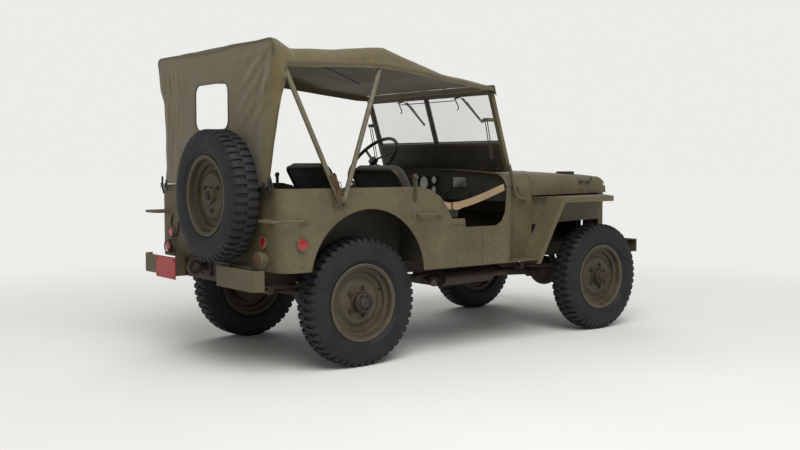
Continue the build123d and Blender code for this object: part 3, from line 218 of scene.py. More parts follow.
print("finishes ready")

# %% [markdown]
# ### Military paint
# Flat olive paint is never one colour: it fades and chalks on top, keeps dust low down, and wears
# through to brown primer and steel in small chips. One recipe gives every painted finish, from a
# base colour, an amount of dust and an amount of chipping.

# %% Paint
PRIMER = srgb(60, 46, 34)
DRY_MUD, RED_MUD = srgb(128, 112, 88), srgb(92, 72, 56)


def paint(name, colour, dust, chips, roughness=0.62, dust_colour=DRY_MUD, dust_top=0.55):
    """A painted finish. Dust and chips go from 0 to 1, and dust lies below a height in metres."""
    finish = Finish(name, colour, roughness, specular_ior_level=0.42)
    cloud = finish.noise(3.2, 5.0)
    mottle = finish.noise(38.0, 4.0)
    grain = finish.noise(900.0, 2.0)
    dark = tuple(channel * 0.78 for channel in colour)
    pale = tuple(min(1.0, channel * 1.24 + 0.006) for channel in colour)
    coat = finish.blend(finish.ramp(cloud * 0.65 + mottle * 0.35, 0.36, 0.66), dark, pale)
    streaks = finish.noise(1.0, 4.0, finish.stretched((60.0, 60.0, 5.0)))
    coat = finish.blend(finish.ramp(streaks, 0.56, 0.78) * 0.16, coat,
                        tuple(channel * 0.5 for channel in colour))
    height = finish.axis("Z")
    low_down = finish.ramp(1.0 - height / dust_top, 0.05, 0.95)
    film = finish.ramp(finish.noise(14.0, 6.0), 0.38, 0.7)
    coat = finish.blend(low_down * (film * 0.75 + 0.25) * dust, coat, dust_colour)
    chip_field = finish.noise(120.0, 3.0) * 0.6 + finish.noise(9.0, 3.0) * 0.4
    chip = finish.ramp(chip_field, 0.655, 0.675) * chips
    coat = finish.blend(chip, coat, PRIMER)
    finish.set("Base Color", coat)
    finish.set("Roughness", roughness - 0.10 * mottle + 0.14 * film * low_down + 0.06 * grain)
    finish.bump(grain, 0.00012)
    finish.bump(mottle, 0.00035)
    return finish.material


body_paint = paint("olive_paint", srgb(88, 80, 56), dust=0.2, chips=0.35)
# A darker olive that paints the shade inside the body: the dash, floor, seat frames, wheelhouses,
# fuel tank and the windscreen's inner sheet are really the body's olive and are painted dark as if
# in shadow.
painted_shade_olive = paint("painted_shade_olive", srgb(50, 46, 35), dust=0.3, chips=0.3)
chassis_paint = paint("chassis_paint", srgb(58, 53, 41), dust=0.75, chips=0.6, roughness=0.72,
                      dust_colour=RED_MUD, dust_top=0.75)
wheel_paint = paint("wheel_paint", srgb(60, 54, 37), dust=0.35, chips=0.5, dust_top=0.75)
bow_paint = paint("bow_paint", srgb(99, 94, 74), dust=0.0, chips=0.45)
black_enamel = paint("black_enamel", srgb(28, 28, 27), dust=0.0, chips=0.15, roughness=0.42)
red_enamel = paint("red_enamel", srgb(158, 26, 26), dust=0.15, chips=0.08, roughness=0.38)
print("paints", [material.name for material in bpy.data.materials if material.use_nodes])

# %% [markdown]
# ### Rubber, castings, steel, glass and lenses
# Tyres are black with a bluish bloom on the walls and dust between the lugs. Castings are rough
# and oily. Glass is a clear thin sheet with a faint green tint, and the lamps have red and clear
# moulded lenses.

# %% Rubber and metals


def rubber():
    finish = Finish("tyre_rubber", srgb(38, 37, 36), 0.78, specular_ior_level=0.32)
    bloom = finish.ramp(finish.noise(7.0, 5.0), 0.35, 0.7)
    fine = finish.noise(420.0, 3.0)
    grime = finish.ramp(finish.noise(46.0, 6.0), 0.5, 0.72)
    coat = finish.blend(bloom, srgb(25, 25, 27), srgb(37, 38, 42))
    coat = finish.blend(grime * 0.3, coat, srgb(58, 52, 45))
    finish.set("Base Color", coat)
    finish.set("Roughness", 0.66 + 0.22 * grime)
    finish.bump(fine, 0.00018)
    return finish.material


def casting():
    finish = Finish("rough_casting", srgb(62, 60, 55), 0.7, metallic=0.35)
    pits = finish.noise(320.0, 5.0)
    oil = finish.ramp(finish.noise(11.0, 5.0), 0.45, 0.7)
    finish.set("Base Color", finish.blend(oil, srgb(70, 66, 58), srgb(30, 27, 23)))
    finish.set("Roughness", 0.74 - 0.3 * oil)
    finish.bump(pits, 0.0006)
    return finish.material


def steel(name, colour, roughness, rust):
    finish = Finish(name, colour, roughness, metallic=0.75)
    scale = finish.noise(60.0, 6.0)
    spots = finish.ramp(scale, 0.5, 0.66)
    finish.set("Base Color", finish.blend(spots * rust, colour, srgb(84, 54, 36)))
    finish.set("Metallic", 0.8 - 0.6 * spots * rust)
    finish.set("Roughness", roughness + 0.3 * spots * rust)
    finish.bump(scale, 0.0003)
    return finish.material


tyre_rubber = rubber()
rough_casting = casting()
dark_steel = steel("dark_steel", srgb(70, 68, 64), 0.48, 0.6)
bright_steel = steel("bright_steel", srgb(158, 156, 148), 0.34, 0.25)
rusty_steel = steel("rusty_steel", srgb(66, 62, 58), 0.6, 1.0)
print("metals ready")

# %% Glass and lenses


def pane():
    finish = Finish("clear_glass", (0.86, 0.92, 0.89), 0.03, ior=1.45)
    film = finish.noise(24.0, 5.0)
    finish.set("Roughness", 0.03 + 0.1 * finish.ramp(film, 0.5, 0.8))
    finish.set("Alpha", 0.16)
    return finish.material


def lens(name, colour, ribs):
    """Moulded glass with fine upright ribs."""
    finish = Finish(name, colour, 0.16, coat_weight=0.6, coat_roughness=0.06)
    cloud = finish.ramp(finish.noise(50.0), 0.3, 0.8) * 0.35
    deep = tuple(channel * 0.4 for channel in colour)
    finish.set("Base Color", finish.blend(cloud, colour, deep))
    finish.bump((finish.axis("Y") * ribs).sine() * 0.5 + 0.5, 0.0006)
    return finish.material


clear_glass = pane()
red_lens = lens("red_lens", srgb(150, 14, 20), 900.0)
clear_lens = lens("clear_lens", srgb(212, 214, 205), 500.0)
print("glass ready")

# %% [markdown]
# ### Cloth, webbing and leather
# Cotton duck shows a square weave close up and soft fading from a few steps away, with darker
# lines where water ran off the folds. Webbing has coarser threads. The weave is a product of sine
# waves, which stays fine on every side of a piece.

# %% Cloth


def cloth(name, colour, thread, fade=0.5, stain=srgb(70, 62, 46), sheen=0.25):
    """Woven cloth with a spacing of its threads in metres."""
    finish = Finish(name, colour, 0.92, sheen_weight=sheen, sheen_roughness=0.5,
                    specular_ior_level=0.18)
    across = finish.axis("Y") + finish.axis("Z") * 0.97
    along = finish.axis("X") + finish.axis("Z") * 1.03
    turns = 2 * math.pi / thread
    weave = (across * turns).sine() * (along * turns).sine()
    slub = finish.noise(1.0, 3.0, finish.stretched((900.0, 60.0, 60.0)))
    cloud = finish.noise(2.6, 6.0)
    patch = finish.noise(17.0, 5.0)
    light = tuple(min(1.0, channel * 1.22) for channel in colour)
    deep = tuple(channel * 0.8 for channel in colour)
    faded = finish.ramp(cloud * 0.6 + patch * 0.4, 0.34, 0.66) * fade + 0.25
    coat = finish.blend(faded, deep, light)
    runs = finish.ramp(finish.noise(1.0, 5.0, finish.stretched((22.0, 22.0, 2.2))), 0.54, 0.74)
    coat = finish.blend(runs * 0.34, coat, stain)
    coat = finish.blend(slub * 0.12, coat, light)
    finish.set("Base Color", coat)
    finish.bump(weave * 0.5 + 0.5, 0.00035)
    finish.bump(patch, 0.0012)
    return finish.material


canvas_duck = cloth("canvas_duck", srgb(98, 89, 62), 0.0022)
seam_duck = cloth("seam_duck", srgb(84, 76, 56), 0.0022, fade=0.3)
seat_duck = cloth("seat_duck", srgb(54, 52, 43), 0.002, stain=srgb(30, 28, 22))
tan_webbing = cloth("tan_webbing", srgb(150, 128, 100), 0.0034, stain=srgb(104, 86, 62), sheen=0.15)
black_webbing = cloth("black_webbing", srgb(30, 29, 27), 0.003, stain=srgb(20, 18, 16), sheen=0.1)
print("cloths ready")

# %% Leather


def leather():
    finish = Finish("brown_leather", srgb(84, 56, 36), 0.5, specular_ior_level=0.4)
    pores = finish.noise(520.0, 4.0)
    wear = finish.ramp(finish.noise(26.0, 5.0), 0.4, 0.7)
    finish.set("Base Color", finish.blend(wear, srgb(66, 44, 30), srgb(98, 70, 46)))
    finish.bump(pores, 0.0005)
    return finish.material


brown_leather = leather()
print("leather ready")

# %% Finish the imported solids
FINISH_OF = {
    chassis_paint: ("frame", "leaf_springs", "shock_absorbers", "axle_housings", "knuckle_left",
                    "knuckle_right", "tie_rod", "propeller_shafts"),
    wheel_paint: ("wheel_front_left", "wheel_front_right", "wheel_rear_left", "wheel_rear_right",
                  "spare_wheel"),
    rough_casting: ("engine", "gearbox"),
    rusty_steel: ("exhaust", "pintle_hook"),
    black_enamel: ("radiator", "steering_column", "steering_wheel", "levers_and_pedals"),
    bow_paint: ("top_bows",),
    # Solids inside the body take the darker olive of painted shade.
    painted_shade_olive: ("dashboard", "floor", "seat_frames", "wheelhouses", "fuel_tank"),
    clear_glass: ("windscreen_glass",),
    red_enamel: ("registration_plate",),
    tyre_rubber: ("tyre_front_left", "tyre_front_right", "tyre_rear_left", "tyre_rear_right",
                  "spare_tyre"),
    canvas_duck: ("canvas_top",),
    seat_duck: ("front_seat_pads", "rear_seat_pads"),
    tan_webbing: ("safety_straps",),
}
finish_by_node = {node: material for material, nodes in FINISH_OF.items() for node in nodes}
for name, node in NODES.items():
    node.data.materials.clear()
    node.data.materials.append(finish_by_node.get(name, body_paint))
print(len(NODES), "solids finished")

# %% [markdown]
# ## How the small parts are made
# Each piece starts from a primitive or a drawn line at its real place, is shaped in edit mode or
# by a modifier that is then applied, and rides on the body that carries it. Every piece ends with
# its own object at the origin. The helpers below cover a bevelled block, a turned part, a bent
# bar, a strap and a set of copies.


def only(piece):
    """Selects one piece and nothing else."""
    bpy.ops.object.select_all(action="DESELECT")
    piece.select_set(True)
    bpy.context.view_layer.objects.active = piece


@contextmanager
def editing(piece):
    """Edit mode on one piece, with all of it selected."""
    only(piece)
    bpy.ops.object.mode_set(mode="EDIT")
    bpy.ops.mesh.select_all(action="SELECT")
    yield
    bpy.ops.object.mode_set(mode="OBJECT")


def outwards(piece):
    """Turns the faces of a closed shell outwards."""
    with editing(piece):
        bpy.ops.mesh.normals_make_consistent(inside=False)
    return piece


def modified(piece, kind, **settings):
    """Applies one modifier with its settings."""
    modifier = piece.modifiers.new(kind.lower(), kind)
    for setting, value in settings.items():
        setattr(modifier, setting, value)
    only(piece)
    bpy.ops.object.modifier_apply(modifier=modifier.name)
    return piece


def applied(piece):
    """Puts a piece's place, turn and size into its mesh."""
    only(piece)
    bpy.ops.object.transform_apply(location=True, rotation=True, scale=True)
    return piece


def points_of(piece):
    return np.array([vertex.co for vertex in piece.data.vertices])


def put_points(piece, points):
    piece.data.vertices.foreach_set("co", points.ravel())
    piece.data.update()


def settle(piece, name, material, body="car", smooth=35):
    """Names a piece, applies its place, finishes it and lets it ride on a body."""
    applied(piece)
    bpy.ops.object.shade_smooth_by_angle(angle=math.radians(smooth))
    piece.name = name
    piece.data.name = name
    piece.data.materials.clear()
    piece.data.materials.append(material)
    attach(piece, body)
    return piece


def drawn(name, points, faces=(), edges=()):
    """A new object from points and faces or edges."""
    mesh = bpy.data.meshes.new(name)
    mesh.from_pydata([tuple(point) for point in points], [tuple(edge) for edge in edges],
                     [tuple(face) for face in faces])
    piece = bpy.data.objects.new(name, mesh)
    bpy.context.scene.collection.objects.link(piece)
    return piece


# %% Blocks, turned parts, bars and straps


def chamfered(low, high, bevel=0.002, segments=2):
    """A raw block between two opposite corners, with bevelled edges."""
    low, high = Vector(low), Vector(high)
    bpy.ops.object.select_all(action="DESELECT")
    bpy.ops.mesh.primitive_cube_add(size=1, location=(low + high) / 2,
                                    scale=[abs(s) for s in high - low])
    return modified(applied(bpy.context.object), "BEVEL", width=bevel, segments=segments)


def block_at(centre, half, bevel, segments=2):
    """A raw bevelled block from its middle and its half-sizes."""
    return chamfered(centre - Vector(half), centre + Vector(half), bevel, segments)


def lathed(profile, centre, axis, steps=40):
    """A raw object turned from a profile of (distance along the axis, radius)."""
    axis = Vector(axis).normalized()
    radial = axis.orthogonal().normalized()
    centre = Vector(centre)
    points = [centre + axis * along + radial * radius for along, radius in profile]
    piece = drawn("turned", points, edges=[(n, n + 1) for n in range(len(points) - 1)])
    with editing(piece):
        bpy.ops.mesh.spin(steps=steps, angle=2 * math.pi, center=centre, axis=axis)
        bpy.ops.mesh.select_all(action="SELECT")
        bpy.ops.mesh.remove_doubles(threshold=0.00005)
        bpy.ops.mesh.normals_make_consistent(inside=False)
    return piece


def bar(points, radius, curved=False, sides=4, closed=False):
    """A raw round bar along points, straight between them or on one smooth curve."""
    curve = bpy.data.curves.new("bar", "CURVE")
    curve.dimensions = "3D"
    curve.bevel_depth = radius
    curve.bevel_resolution = sides
    curve.use_fill_caps = True
    spline = curve.splines.new("NURBS" if curved else "POLY")
    spline.points.add(len(points) - 1)
    for spot, point in zip(spline.points, points):
        spot.co = (*point, 1)
    spline.use_cyclic_u = closed
    if curved:
        spline.order_u = 3
        spline.use_endpoint_u = not closed
        spline.resolution_u = 6
    piece = bpy.data.objects.new("bar", curve)
    bpy.context.scene.collection.objects.link(piece)
    only(piece)
    bpy.ops.object.convert(target="MESH")
    return bpy.context.object


def walled(sections):
    """A raw closed shell through sections of four corners each."""
    faces = [(0, 1, 2, 3)]
    last = 4 * (len(sections) - 1)
    for base in range(0, last, 4):
        for edge in range(4):
            after = (edge + 1) % 4
            faces.append((base + edge, base + 4 + edge, base + 4 + after, base + after))
    faces.append((last + 3, last + 2, last + 1, last))
    return outwards(drawn("strap", [corner for row in sections for corner in row], faces))


def section(point, side, out):
    """The four corners of a flat strap at a point of its middle line."""
    return [point - side, point + side, point + side + out, point - side + out]


def strip(points, across, width, thickness, outward):
    """A raw flat strap: its middle line, one direction across it or one for each point, and the
    same for the side that it thickens towards."""
    across, outward = [way if isinstance(way, list) else [way] * len(points)
                       for way in (across, outward)]
    return walled([section(Vector(point), side.normalized() * width / 2,
                           out.normalized() * thickness)
                   for point, side, out in zip(points, across, outward)])


def merged(pieces):
    """Joins raw objects into the first one."""
    bpy.ops.object.select_all(action="DESELECT")
    for piece in pieces:
        piece.select_set(True)
    bpy.context.view_layer.objects.active = pieces[0]
    if len(pieces) > 1:
        bpy.ops.object.join()
    return pieces[0]


def joined(pieces, name, material, body="car", smooth=35):
    """Joins raw objects of one finish into one finished piece."""
    return settle(merged(pieces), name, material, body, smooth)


def joined_all(groups, body="car"):
    """Joins each group of raw objects into its own finished piece."""
    for name, (pieces, material) in groups.items():
        joined(pieces, name, material, body)
    print("made", ", ".join(groups))


print("helpers ready")

# %% Copies of a small part


def pattern_of(piece):
    """The points and faces of a raw object, which is then deleted."""
    points = points_of(applied(piece))
    faces = [tuple(polygon.vertices) for polygon in piece.data.polygons]
    bpy.data.objects.remove(piece)
    return points, faces


def facing(place, direction, turn=0.0):
    """A matrix that puts a part's Z axis along a direction, turned about it."""
    aim = Vector(direction).to_track_quat("Z", "Y").to_matrix().to_4x4()
    return Matrix.Translation(place) @ aim @ Matrix.Rotation(turn, 4, "Z")


def copies(pattern, places, name, material, body="car", smooth=35):
    """One piece of many copies of a pattern."""
    points, faces = pattern
    spread, all_faces = [], []
    for number, place in enumerate(places):
        first = number * len(points)
        spread.append(points @ np.array(place.to_3x3()).T + np.array(place.translation))
        all_faces += [tuple(corner + first for corner in face) for face in faces]
    return settle(drawn(name, np.concatenate(spread), all_faces), name, material, body, smooth)


def hexagon_nut(across, height):
    """The pattern of a hexagon nut with a washer and the end of its stud."""
    bpy.ops.object.select_all(action="DESELECT")
    bpy.ops.mesh.primitive_cylinder_add(vertices=6, radius=across / 2, depth=height,
                                        location=(0, 0, height / 2))
    nut = modified(bpy.context.object, "BEVEL", width=across * 0.07, segments=2)
    washer = lathed([(0, 0), (0, across * 0.62), (height * 0.22, across * 0.6), (height * 0.22, 0)],
                    (0, 0, 0), (0, 0, 1), 18)
    stud = lathed([(height * 0.9, 0), (height * 0.9, across * 0.27), (height * 1.3, across * 0.25),
                   (height * 1.38, across * 0.16), (height * 1.38, 0)], (0, 0, 0), (0, 0, 1), 14)
    return pattern_of(merged([nut, washer, stud]))


def round_rivet(radius):
    """The pattern of a domed rivet head."""
    profile = [(0, 0), (0, 1), (0.3, 0.92), (0.55, 0.6), (0.65, 0)]  # in shares of the radius
    return pattern_of(lathed([(radius * along, radius * out) for along, out in profile],
                             (0, 0, 0), (0, 0, 1), 14))


NUT = hexagon_nut(0.024, 0.011)
SMALL_NUT = hexagon_nut(0.016, 0.008)
RIVET = round_rivet(0.007)
print("nut", len(NUT[0]), "points; rivet", len(RIVET[0]), "points")

# %% [markdown]
# ## Tyres
# The bar-lug tyre has two rows of 48 blocks, set half a step apart so that their inner ends
# interlock in a zigzag, and each block runs over the shoulder. The casing is a turned section
# with moulded rings on its walls. A lug is a short prism repeated round the tread, so the whole
# tyre is one piece of light geometry.

# %% A tyre as points and faces
LUG_COUNT = 48
CASING = (  # half the section: place along the axle and radius
    (-0.060, 0.2035), (-0.0603, 0.2215), (-0.0680, 0.2300), (-0.0768, 0.2430), (-0.0790, 0.2445),
    (-0.0790, 0.2470), (-0.0785, 0.2490), (-0.0826, 0.2660), (-0.0838, 0.2850), (-0.0830, 0.2960),
    (-0.0838, 0.2975), (-0.0836, 0.3005), (-0.0822, 0.3020), (-0.0800, 0.3160), (-0.0760, 0.3300),
    (-0.0690, 0.3410), (-0.0580, 0.3495), (-0.0300, 0.3520), (0.0, 0.3525))
LUG = ((-0.006, 0.3500), (-0.006, 0.3612), (-0.004, 0.3620), (0.053, 0.3620), (0.0640, 0.3575),
       (0.0745, 0.3400), (0.0765, 0.3290), (0.0740, 0.3290), (0.0640, 0.3400), (0.050, 0.3480))
LUG_HALF = (0.0152, 0.0128)  # half a lug round the tread, at its foot and at its top
LUG_FOOT, LUG_RISE = 0.345, 0.017  # radius where a lug starts to narrow, and how far it rises
TREAD = 0.355  # radius at which a lug's width is measured


def round_axle(radius, across, angle):
    """A place from a wheel's middle: out from its axle, along the axle and round it."""
    return (radius * math.cos(angle), across, radius * math.sin(angle))


def lug(number, side):
    """The points of one block, its two ends after each other."""
    middle_angle = 2 * math.pi * (number + (0.25 if side > 0 else 0.75)) / LUG_COUNT
    foot, tip = LUG_HALF
    points = []
    for end in (-1, 1):
        for across, radius in LUG:
            half = foot + (tip - foot) * min(1.0, max(0.0, (radius - LUG_FOOT) / LUG_RISE))
            points.append(round_axle(radius, side * across, middle_angle + end * half / TREAD))
    return points


def tyre_pattern():
    steps = 2 * LUG_COUNT
    profile = list(CASING) + [(-across, radius) for across, radius in reversed(CASING[:-1])]
    row = len(profile)
    points = [round_axle(radius, across, 2 * math.pi * step / steps)
              for step in range(steps) for across, radius in profile]
    faces = []
    for step in range(steps):
        here, ahead = step * row, (step + 1) % steps * row
        for n in range(row):
            beside = (n + 1) % row
            faces.append((here + n, here + beside, ahead + beside, ahead + n))
    count = len(LUG)
    for number in range(LUG_COUNT):
        for side in (1, -1):
            base = len(points)
            points += lug(number, side)
            near = [base + n for n in range(count)]
            far = [base + count + n for n in range(count)]
            faces += [near[::side * -1], far[::side]]
            for n in range(count):
                beside = (n + 1) % count
                faces.append((near[n], near[beside], far[beside], far[n])[::side])
    return np.array(points), faces


TYRE = tyre_pattern()
print("tyre", len(TYRE[1]), "faces")

# %% Put the tyres on their wheels
WHEELS = {f"{end}_{side}": sign for end in ("front", "rear")
          for side, sign in SIDES.items()}


def fit_tyre(node, name, body, turn=0.0):
    """Puts a tyre in the place of a packed one."""
    place = Matrix.Translation(middle(node)) @ Matrix.Rotation(turn, 4, "Z")
    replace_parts(outwards(copies(TYRE, [place], name, tyre_rubber, body, 28)), node)


for place in WHEELS:
    fit_tyre(f"tyre_{place}", f"lugged_tyre_{place}", f"road_wheel_{place}")
fit_tyre("spare_tyre", "lugged_tyre_spare", "car", math.pi / 2)
print("tyres on", ", ".join(WHEELS), "and the spare")

# %% [markdown]
# ## Wheel nuts, hubs and valves
# Five nuts hold each wheel, and a ring of small bolts holds the drive flange. The spare has nuts
# too, on the carrier's studs. All nuts of a wheel are one piece that turns with it.

# %% Nuts of the road wheels
STUD_CIRCLE, FLANGE_CIRCLE = 0.082, 0.053  # radii of the wheel studs and the flange bolts


def round_hub(hub, radius, out, count, turn=0.0):
    """Places evenly round a hub, each with its angle."""
    angles = [2 * math.pi * n / count + turn for n in range(count)]
    return [(hub + Vector(round_axle(radius, out, angle)), angle) for angle in angles]


for place, sign in WHEELS.items():
    hub, body = middle(f"wheel_{place}"), f"road_wheel_{place}"
    studs = round_hub(hub, STUD_CIRCLE, sign * 0.026, 5)
    flange = round_hub(hub, FLANGE_CIRCLE, sign * 0.0358, 6, 0.3)
    copies(NUT, [facing(spot, (0, sign, 0), angle) for spot, angle in studs],
           f"wheel_nuts_{place}", dark_steel, body)
    copies(SMALL_NUT, [facing(spot, (0, sign, 0), angle) for spot, angle in flange],
           f"hub_bolts_{place}", wheel_paint, body)
    valve = [hub + Vector((0.14, sign * 0.012, 0.06)), hub + Vector((0.15, sign * 0.03, 0.065))]
    settle(bar(valve, 0.0045), f"valve_{place}", black_enamel, body)
print("nuts, bolts and valves on", len(WHEELS), "wheels")

# %% The spare's nuts
BACK = Vector((-1, 0, 0))
spare_hub = middle("spare_wheel")
studs = []
for angle in (0.5, 0.5 + 2.094, 0.5 + 4.189):  # three studs, a third of a turn apart
    spot = Vector((-0.0262, STUD_CIRCLE * math.cos(angle), STUD_CIRCLE * math.sin(angle)))
    studs.append(facing(spare_hub + spot, BACK, angle))
copies(NUT, studs, "spare_nuts", dark_steel)
cap = facing((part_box("spare_carrier")[0][0], spare_hub.y, spare_hub.z), BACK)
copies(hexagon_nut(0.05, 0.016), [cap], "carrier_cap_nut", dark_steel)
print("spare held by", len(studs), "nuts and a cap nut")

# %% [markdown]
# ## The canvas top
# The top is one big sheet of cotton duck: a roof stretched over two bows to the windscreen, a
# skirt along each side, and a rear curtain whose sides wrap a little way round the corners. Its
# sewn shape is a hull through a few sections, hollowed and cut along its edges. Then it is cut
# into a fine grid, its rear corners are rounded as pulled cloth is, and folds are pressed into
# it, so that roof, skirts and curtain stay one continuous sheet.

# %% The sewn shape before it is folded
REAR = -0.5763  # station of the curtain's rear face
FRONT = 1.021  # station of the roof's front edge
EAVES = 1.585  # height at which the sides stop leaning
TAPER = 0.042 / 0.685  # how fast the sides draw in below the eaves
DUCK = 0.004  # a doubled sheet with its hems
ROOF = (  # inside: station, half-width at the eaves and at the top edge, height, rounding
    (-0.5723, 0.714, 0.699, 1.786, 0.045), (-0.5440, 0.714, 0.699, 1.783, 0.050),
    (-0.4400, 0.713, 0.698, 1.744, 0.090), (-0.1400, 0.712, 0.695, 1.762, 0.090),
    (0.1500, 0.712, 0.692, 1.7888, 0.060), (0.1700, 0.711, 0.691, 1.7888, 0.060),
    (0.3320, 0.705, 0.688, 1.740, 0.055), (0.6000, 0.690, 0.680, 1.668, 0.050),
    (1.0210, 0.668, 0.660, 1.617, 0.040))
SKIRT_EDGE = (  # station and height
    (-0.500, 1.643), (-0.343, 1.649), (-0.154, 1.661), (-0.017, 1.668), (0.125, 1.669),
    (0.250, 1.664), (0.468, 1.640), (0.696, 1.616), (0.937, 1.592), (1.021, 1.5902))
FLAP_EDGE = (  # height and station
    (1.016, -0.567), (1.231, -0.549), (1.390, -0.534), (1.643, -0.500), (1.800, -0.479))
WINDOW = (-0.0095, 1.4615, 0.1965, 0.1285)  # middle's side and height, half-width, half-height
WINDOW_BEND = 0.052


def mirrored(half):
    """Half a line of side and height, carried on over the middle."""
    return half + [(-y, z) for y, z in reversed(half)]


def roof_section(foot, edge, top, bend, low):
    """Half a section of the hull, from its low end up to the middle: side and height."""
    loop = [(-foot + TAPER * (EAVES - low), low), (-foot, EAVES)]
    return loop + [(-edge + bend * (1 - math.cos(a)), top - bend + bend * math.sin(a))
                   for a in np.linspace(0, math.pi / 2, 7)]


def sewn_hull(grow, rear, front, low):
    """The closed hull of the tent shape, grown outwards, between two stations, down to a height."""
    rows = [(rear, *ROOF[0][1:]), *ROOF[1:-1], (front, *ROOF[-1][1:])]
    points, faces = [], []
    for station, foot, edge, top, bend in rows:
        half = roof_section(foot + grow, edge + grow, top + grow, bend, low)
        points += [at(station, y, z) for y, z in mirrored(half)]
    count = len(points) // len(rows)
    last = count * (len(rows) - 1)
    for base in range(0, last, count):
        for n in range(count):
            m = (n + 1) % count
            faces.append((base + n, base + m, base + count + m, base + count + n))
    faces += [tuple(reversed(range(count))), tuple(range(last, last + count))]
    return outwards(drawn("hull", points, faces))


def prism(loop, way):
    """A closed block from a loop of points, pushed along a direction."""
    count = len(loop)
    points = [Vector(point) for point in loop]
    points += [point + Vector(way) for point in points]
    faces = [tuple(range(count)), tuple(reversed(range(count, 2 * count)))]
    faces += [(n, n + count, (n + 1) % count + count, (n + 1) % count) for n in range(count)]
    return outwards(drawn("prism", points, faces))


def rounded_rectangle(low, high, bend, steps):
    """Points round a rectangle with rounded corners, in two coordinates."""
    loop = []
    for corner, (right, up) in enumerate(((1, 1), (0, 1), (0, 0), (1, 0))):
        u = high[0] - bend if right else low[0] + bend
        v = high[1] - bend if up else low[1] + bend
        for n in range(steps):
            angle = math.pi / 2 * (corner + n / (steps - 1))
            loop.append((u + bend * math.cos(angle), v + bend * math.sin(angle)))
    return loop


def window_loop(station, grow, bend):
    """Points round the window's edge."""
    side, height, half_w, half_h = WINDOW
    low = (side - half_w - grow, height - half_h - grow)
    high = (side + half_w + grow, height + half_h + grow)
    return [at(station, y, z) for y, z in rounded_rectangle(low, high, bend, 7)]


BELOW, BELT = 0.80, 1.016  # heights below the hull's open side, and of the body's rail
side_view = [(-0.70, BELOW), (-0.70, BELT)] + [(s, z) for z, s in FLAP_EDGE[:3]]
side_view += list(SKIRT_EDGE[:-1]) + [(1.10, 1.588), (1.10, BELOW)]
canvas = sewn_hull(DUCK, REAR, FRONT, 0.90)
hollow = sewn_hull(0.0, REAR + DUCK, 1.060, 0.88)
open_sides = prism([at(s, -0.9, z) for s, z in side_view], (0, 1.8, 0))
window = prism(window_loop(-0.62, 0, WINDOW_BEND), (0.09, 0, 0))
for cutter in (hollow, open_sides, window):
    modified(canvas, "BOOLEAN", object=cutter, operation="DIFFERENCE", solver="EXACT")
    bpy.data.objects.remove(cutter)
print("sewn shape", len(canvas.data.polygons), "faces")

# %% Cut the canvas into a fine grid
GRID = 0.018
low, high = points_of(canvas).min(axis=0), points_of(canvas).max(axis=0)
with editing(canvas):
    bpy.ops.mesh.remove_doubles(threshold=0.0001)
    for axis in range(3):
        for cut in range(1, int((high[axis] - low[axis]) / GRID) + 1):
            point, normal = [float(value) for value in low], [0, 0, 0]
            point[axis] += cut * GRID
            normal[axis] = 1
            bpy.ops.mesh.select_all(action="SELECT")
            bpy.ops.mesh.bisect(plane_co=point, plane_no=normal)
    bpy.ops.mesh.select_all(action="SELECT")
    bpy.ops.mesh.quads_convert_to_tris()
print("canvas grid", len(canvas.data.polygons), "faces")

# %% Round the rear corners
CORNER = (  # height, radius
    (1.016, 0.115), (1.500, 0.115), (1.600, 0.060), (1.700, 0.030), (1.760, 0.001))
CURTAIN_HALF = ((0.900, 0.676), (1.585, 0.718), (1.740, 0.703), (1.800, 0.703))
DRAWN_IN = (  # height, and how far the stretched curtain draws in
    (1.016, 0.000), (1.300, 0.010), (1.500, 0.013), (1.600, 0.009), (1.700, 0.0), (1.800, 0.0))
ROUNDED_UP_TO = 1.759  # height
NEAR_SKIN = 0.006  # points deeper than this aren't part of the sheet


def between(table, values):
    """Values read off a table of two columns."""
    return np.interp(values, [row[0] for row in table], [row[1] for row in table])


def round_corners(points):
    """Moves the points of the curtain's square corners onto rounded ones."""
    station = points[:, 0] - REAR_AXLE
    side = np.abs(points[:, 1])
    height = points[:, 2]
    radius = between(CORNER, height)
    half_now = between(CURTAIN_HALF, height)
    half_then = half_now - between(DRAWN_IN, height)
    edge = between(FLAP_EDGE, height)
    from_rear, from_side = station - REAR, half_now - side
    depth = np.minimum(from_rear, from_side)
    # The way along the sheet: first the square corner's, then the same share of the round one's.
    run = np.where(from_side < from_rear, radius + from_rear, radius - from_side)
    whole = radius + (edge - REAR)
    share = (edge - REAR) / radius
    swing = np.where(share < 1, np.arccos(np.clip(1 - share, -1, 1)), math.pi / 2)
    target = radius * swing + np.maximum(edge - REAR - radius, 0)
    along = np.clip(run / whole, 0, 1) * target
    angle = np.minimum(along / radius, math.pi / 2)
    straight = np.maximum(along - radius * math.pi / 2, 0)
    new_station = REAR + radius - (radius - depth) * np.cos(angle) + straight
    new_side = half_then - radius + (radius - depth) * np.sin(angle)
    corner = (run > 0) & (height < ROUNDED_UP_TO) & (station < edge + 0.0015) & (depth < NEAR_SKIN)
    moved = points.copy()
    moved[:, 0] = np.where(corner, new_station + REAR_AXLE, points[:, 0])
    moved[:, 1] = np.where(corner, np.sign(points[:, 1]) * new_side, points[:, 1])
    return moved


print("curtain's half-width at the belt", between(CURTAIN_HALF, [BELT]))

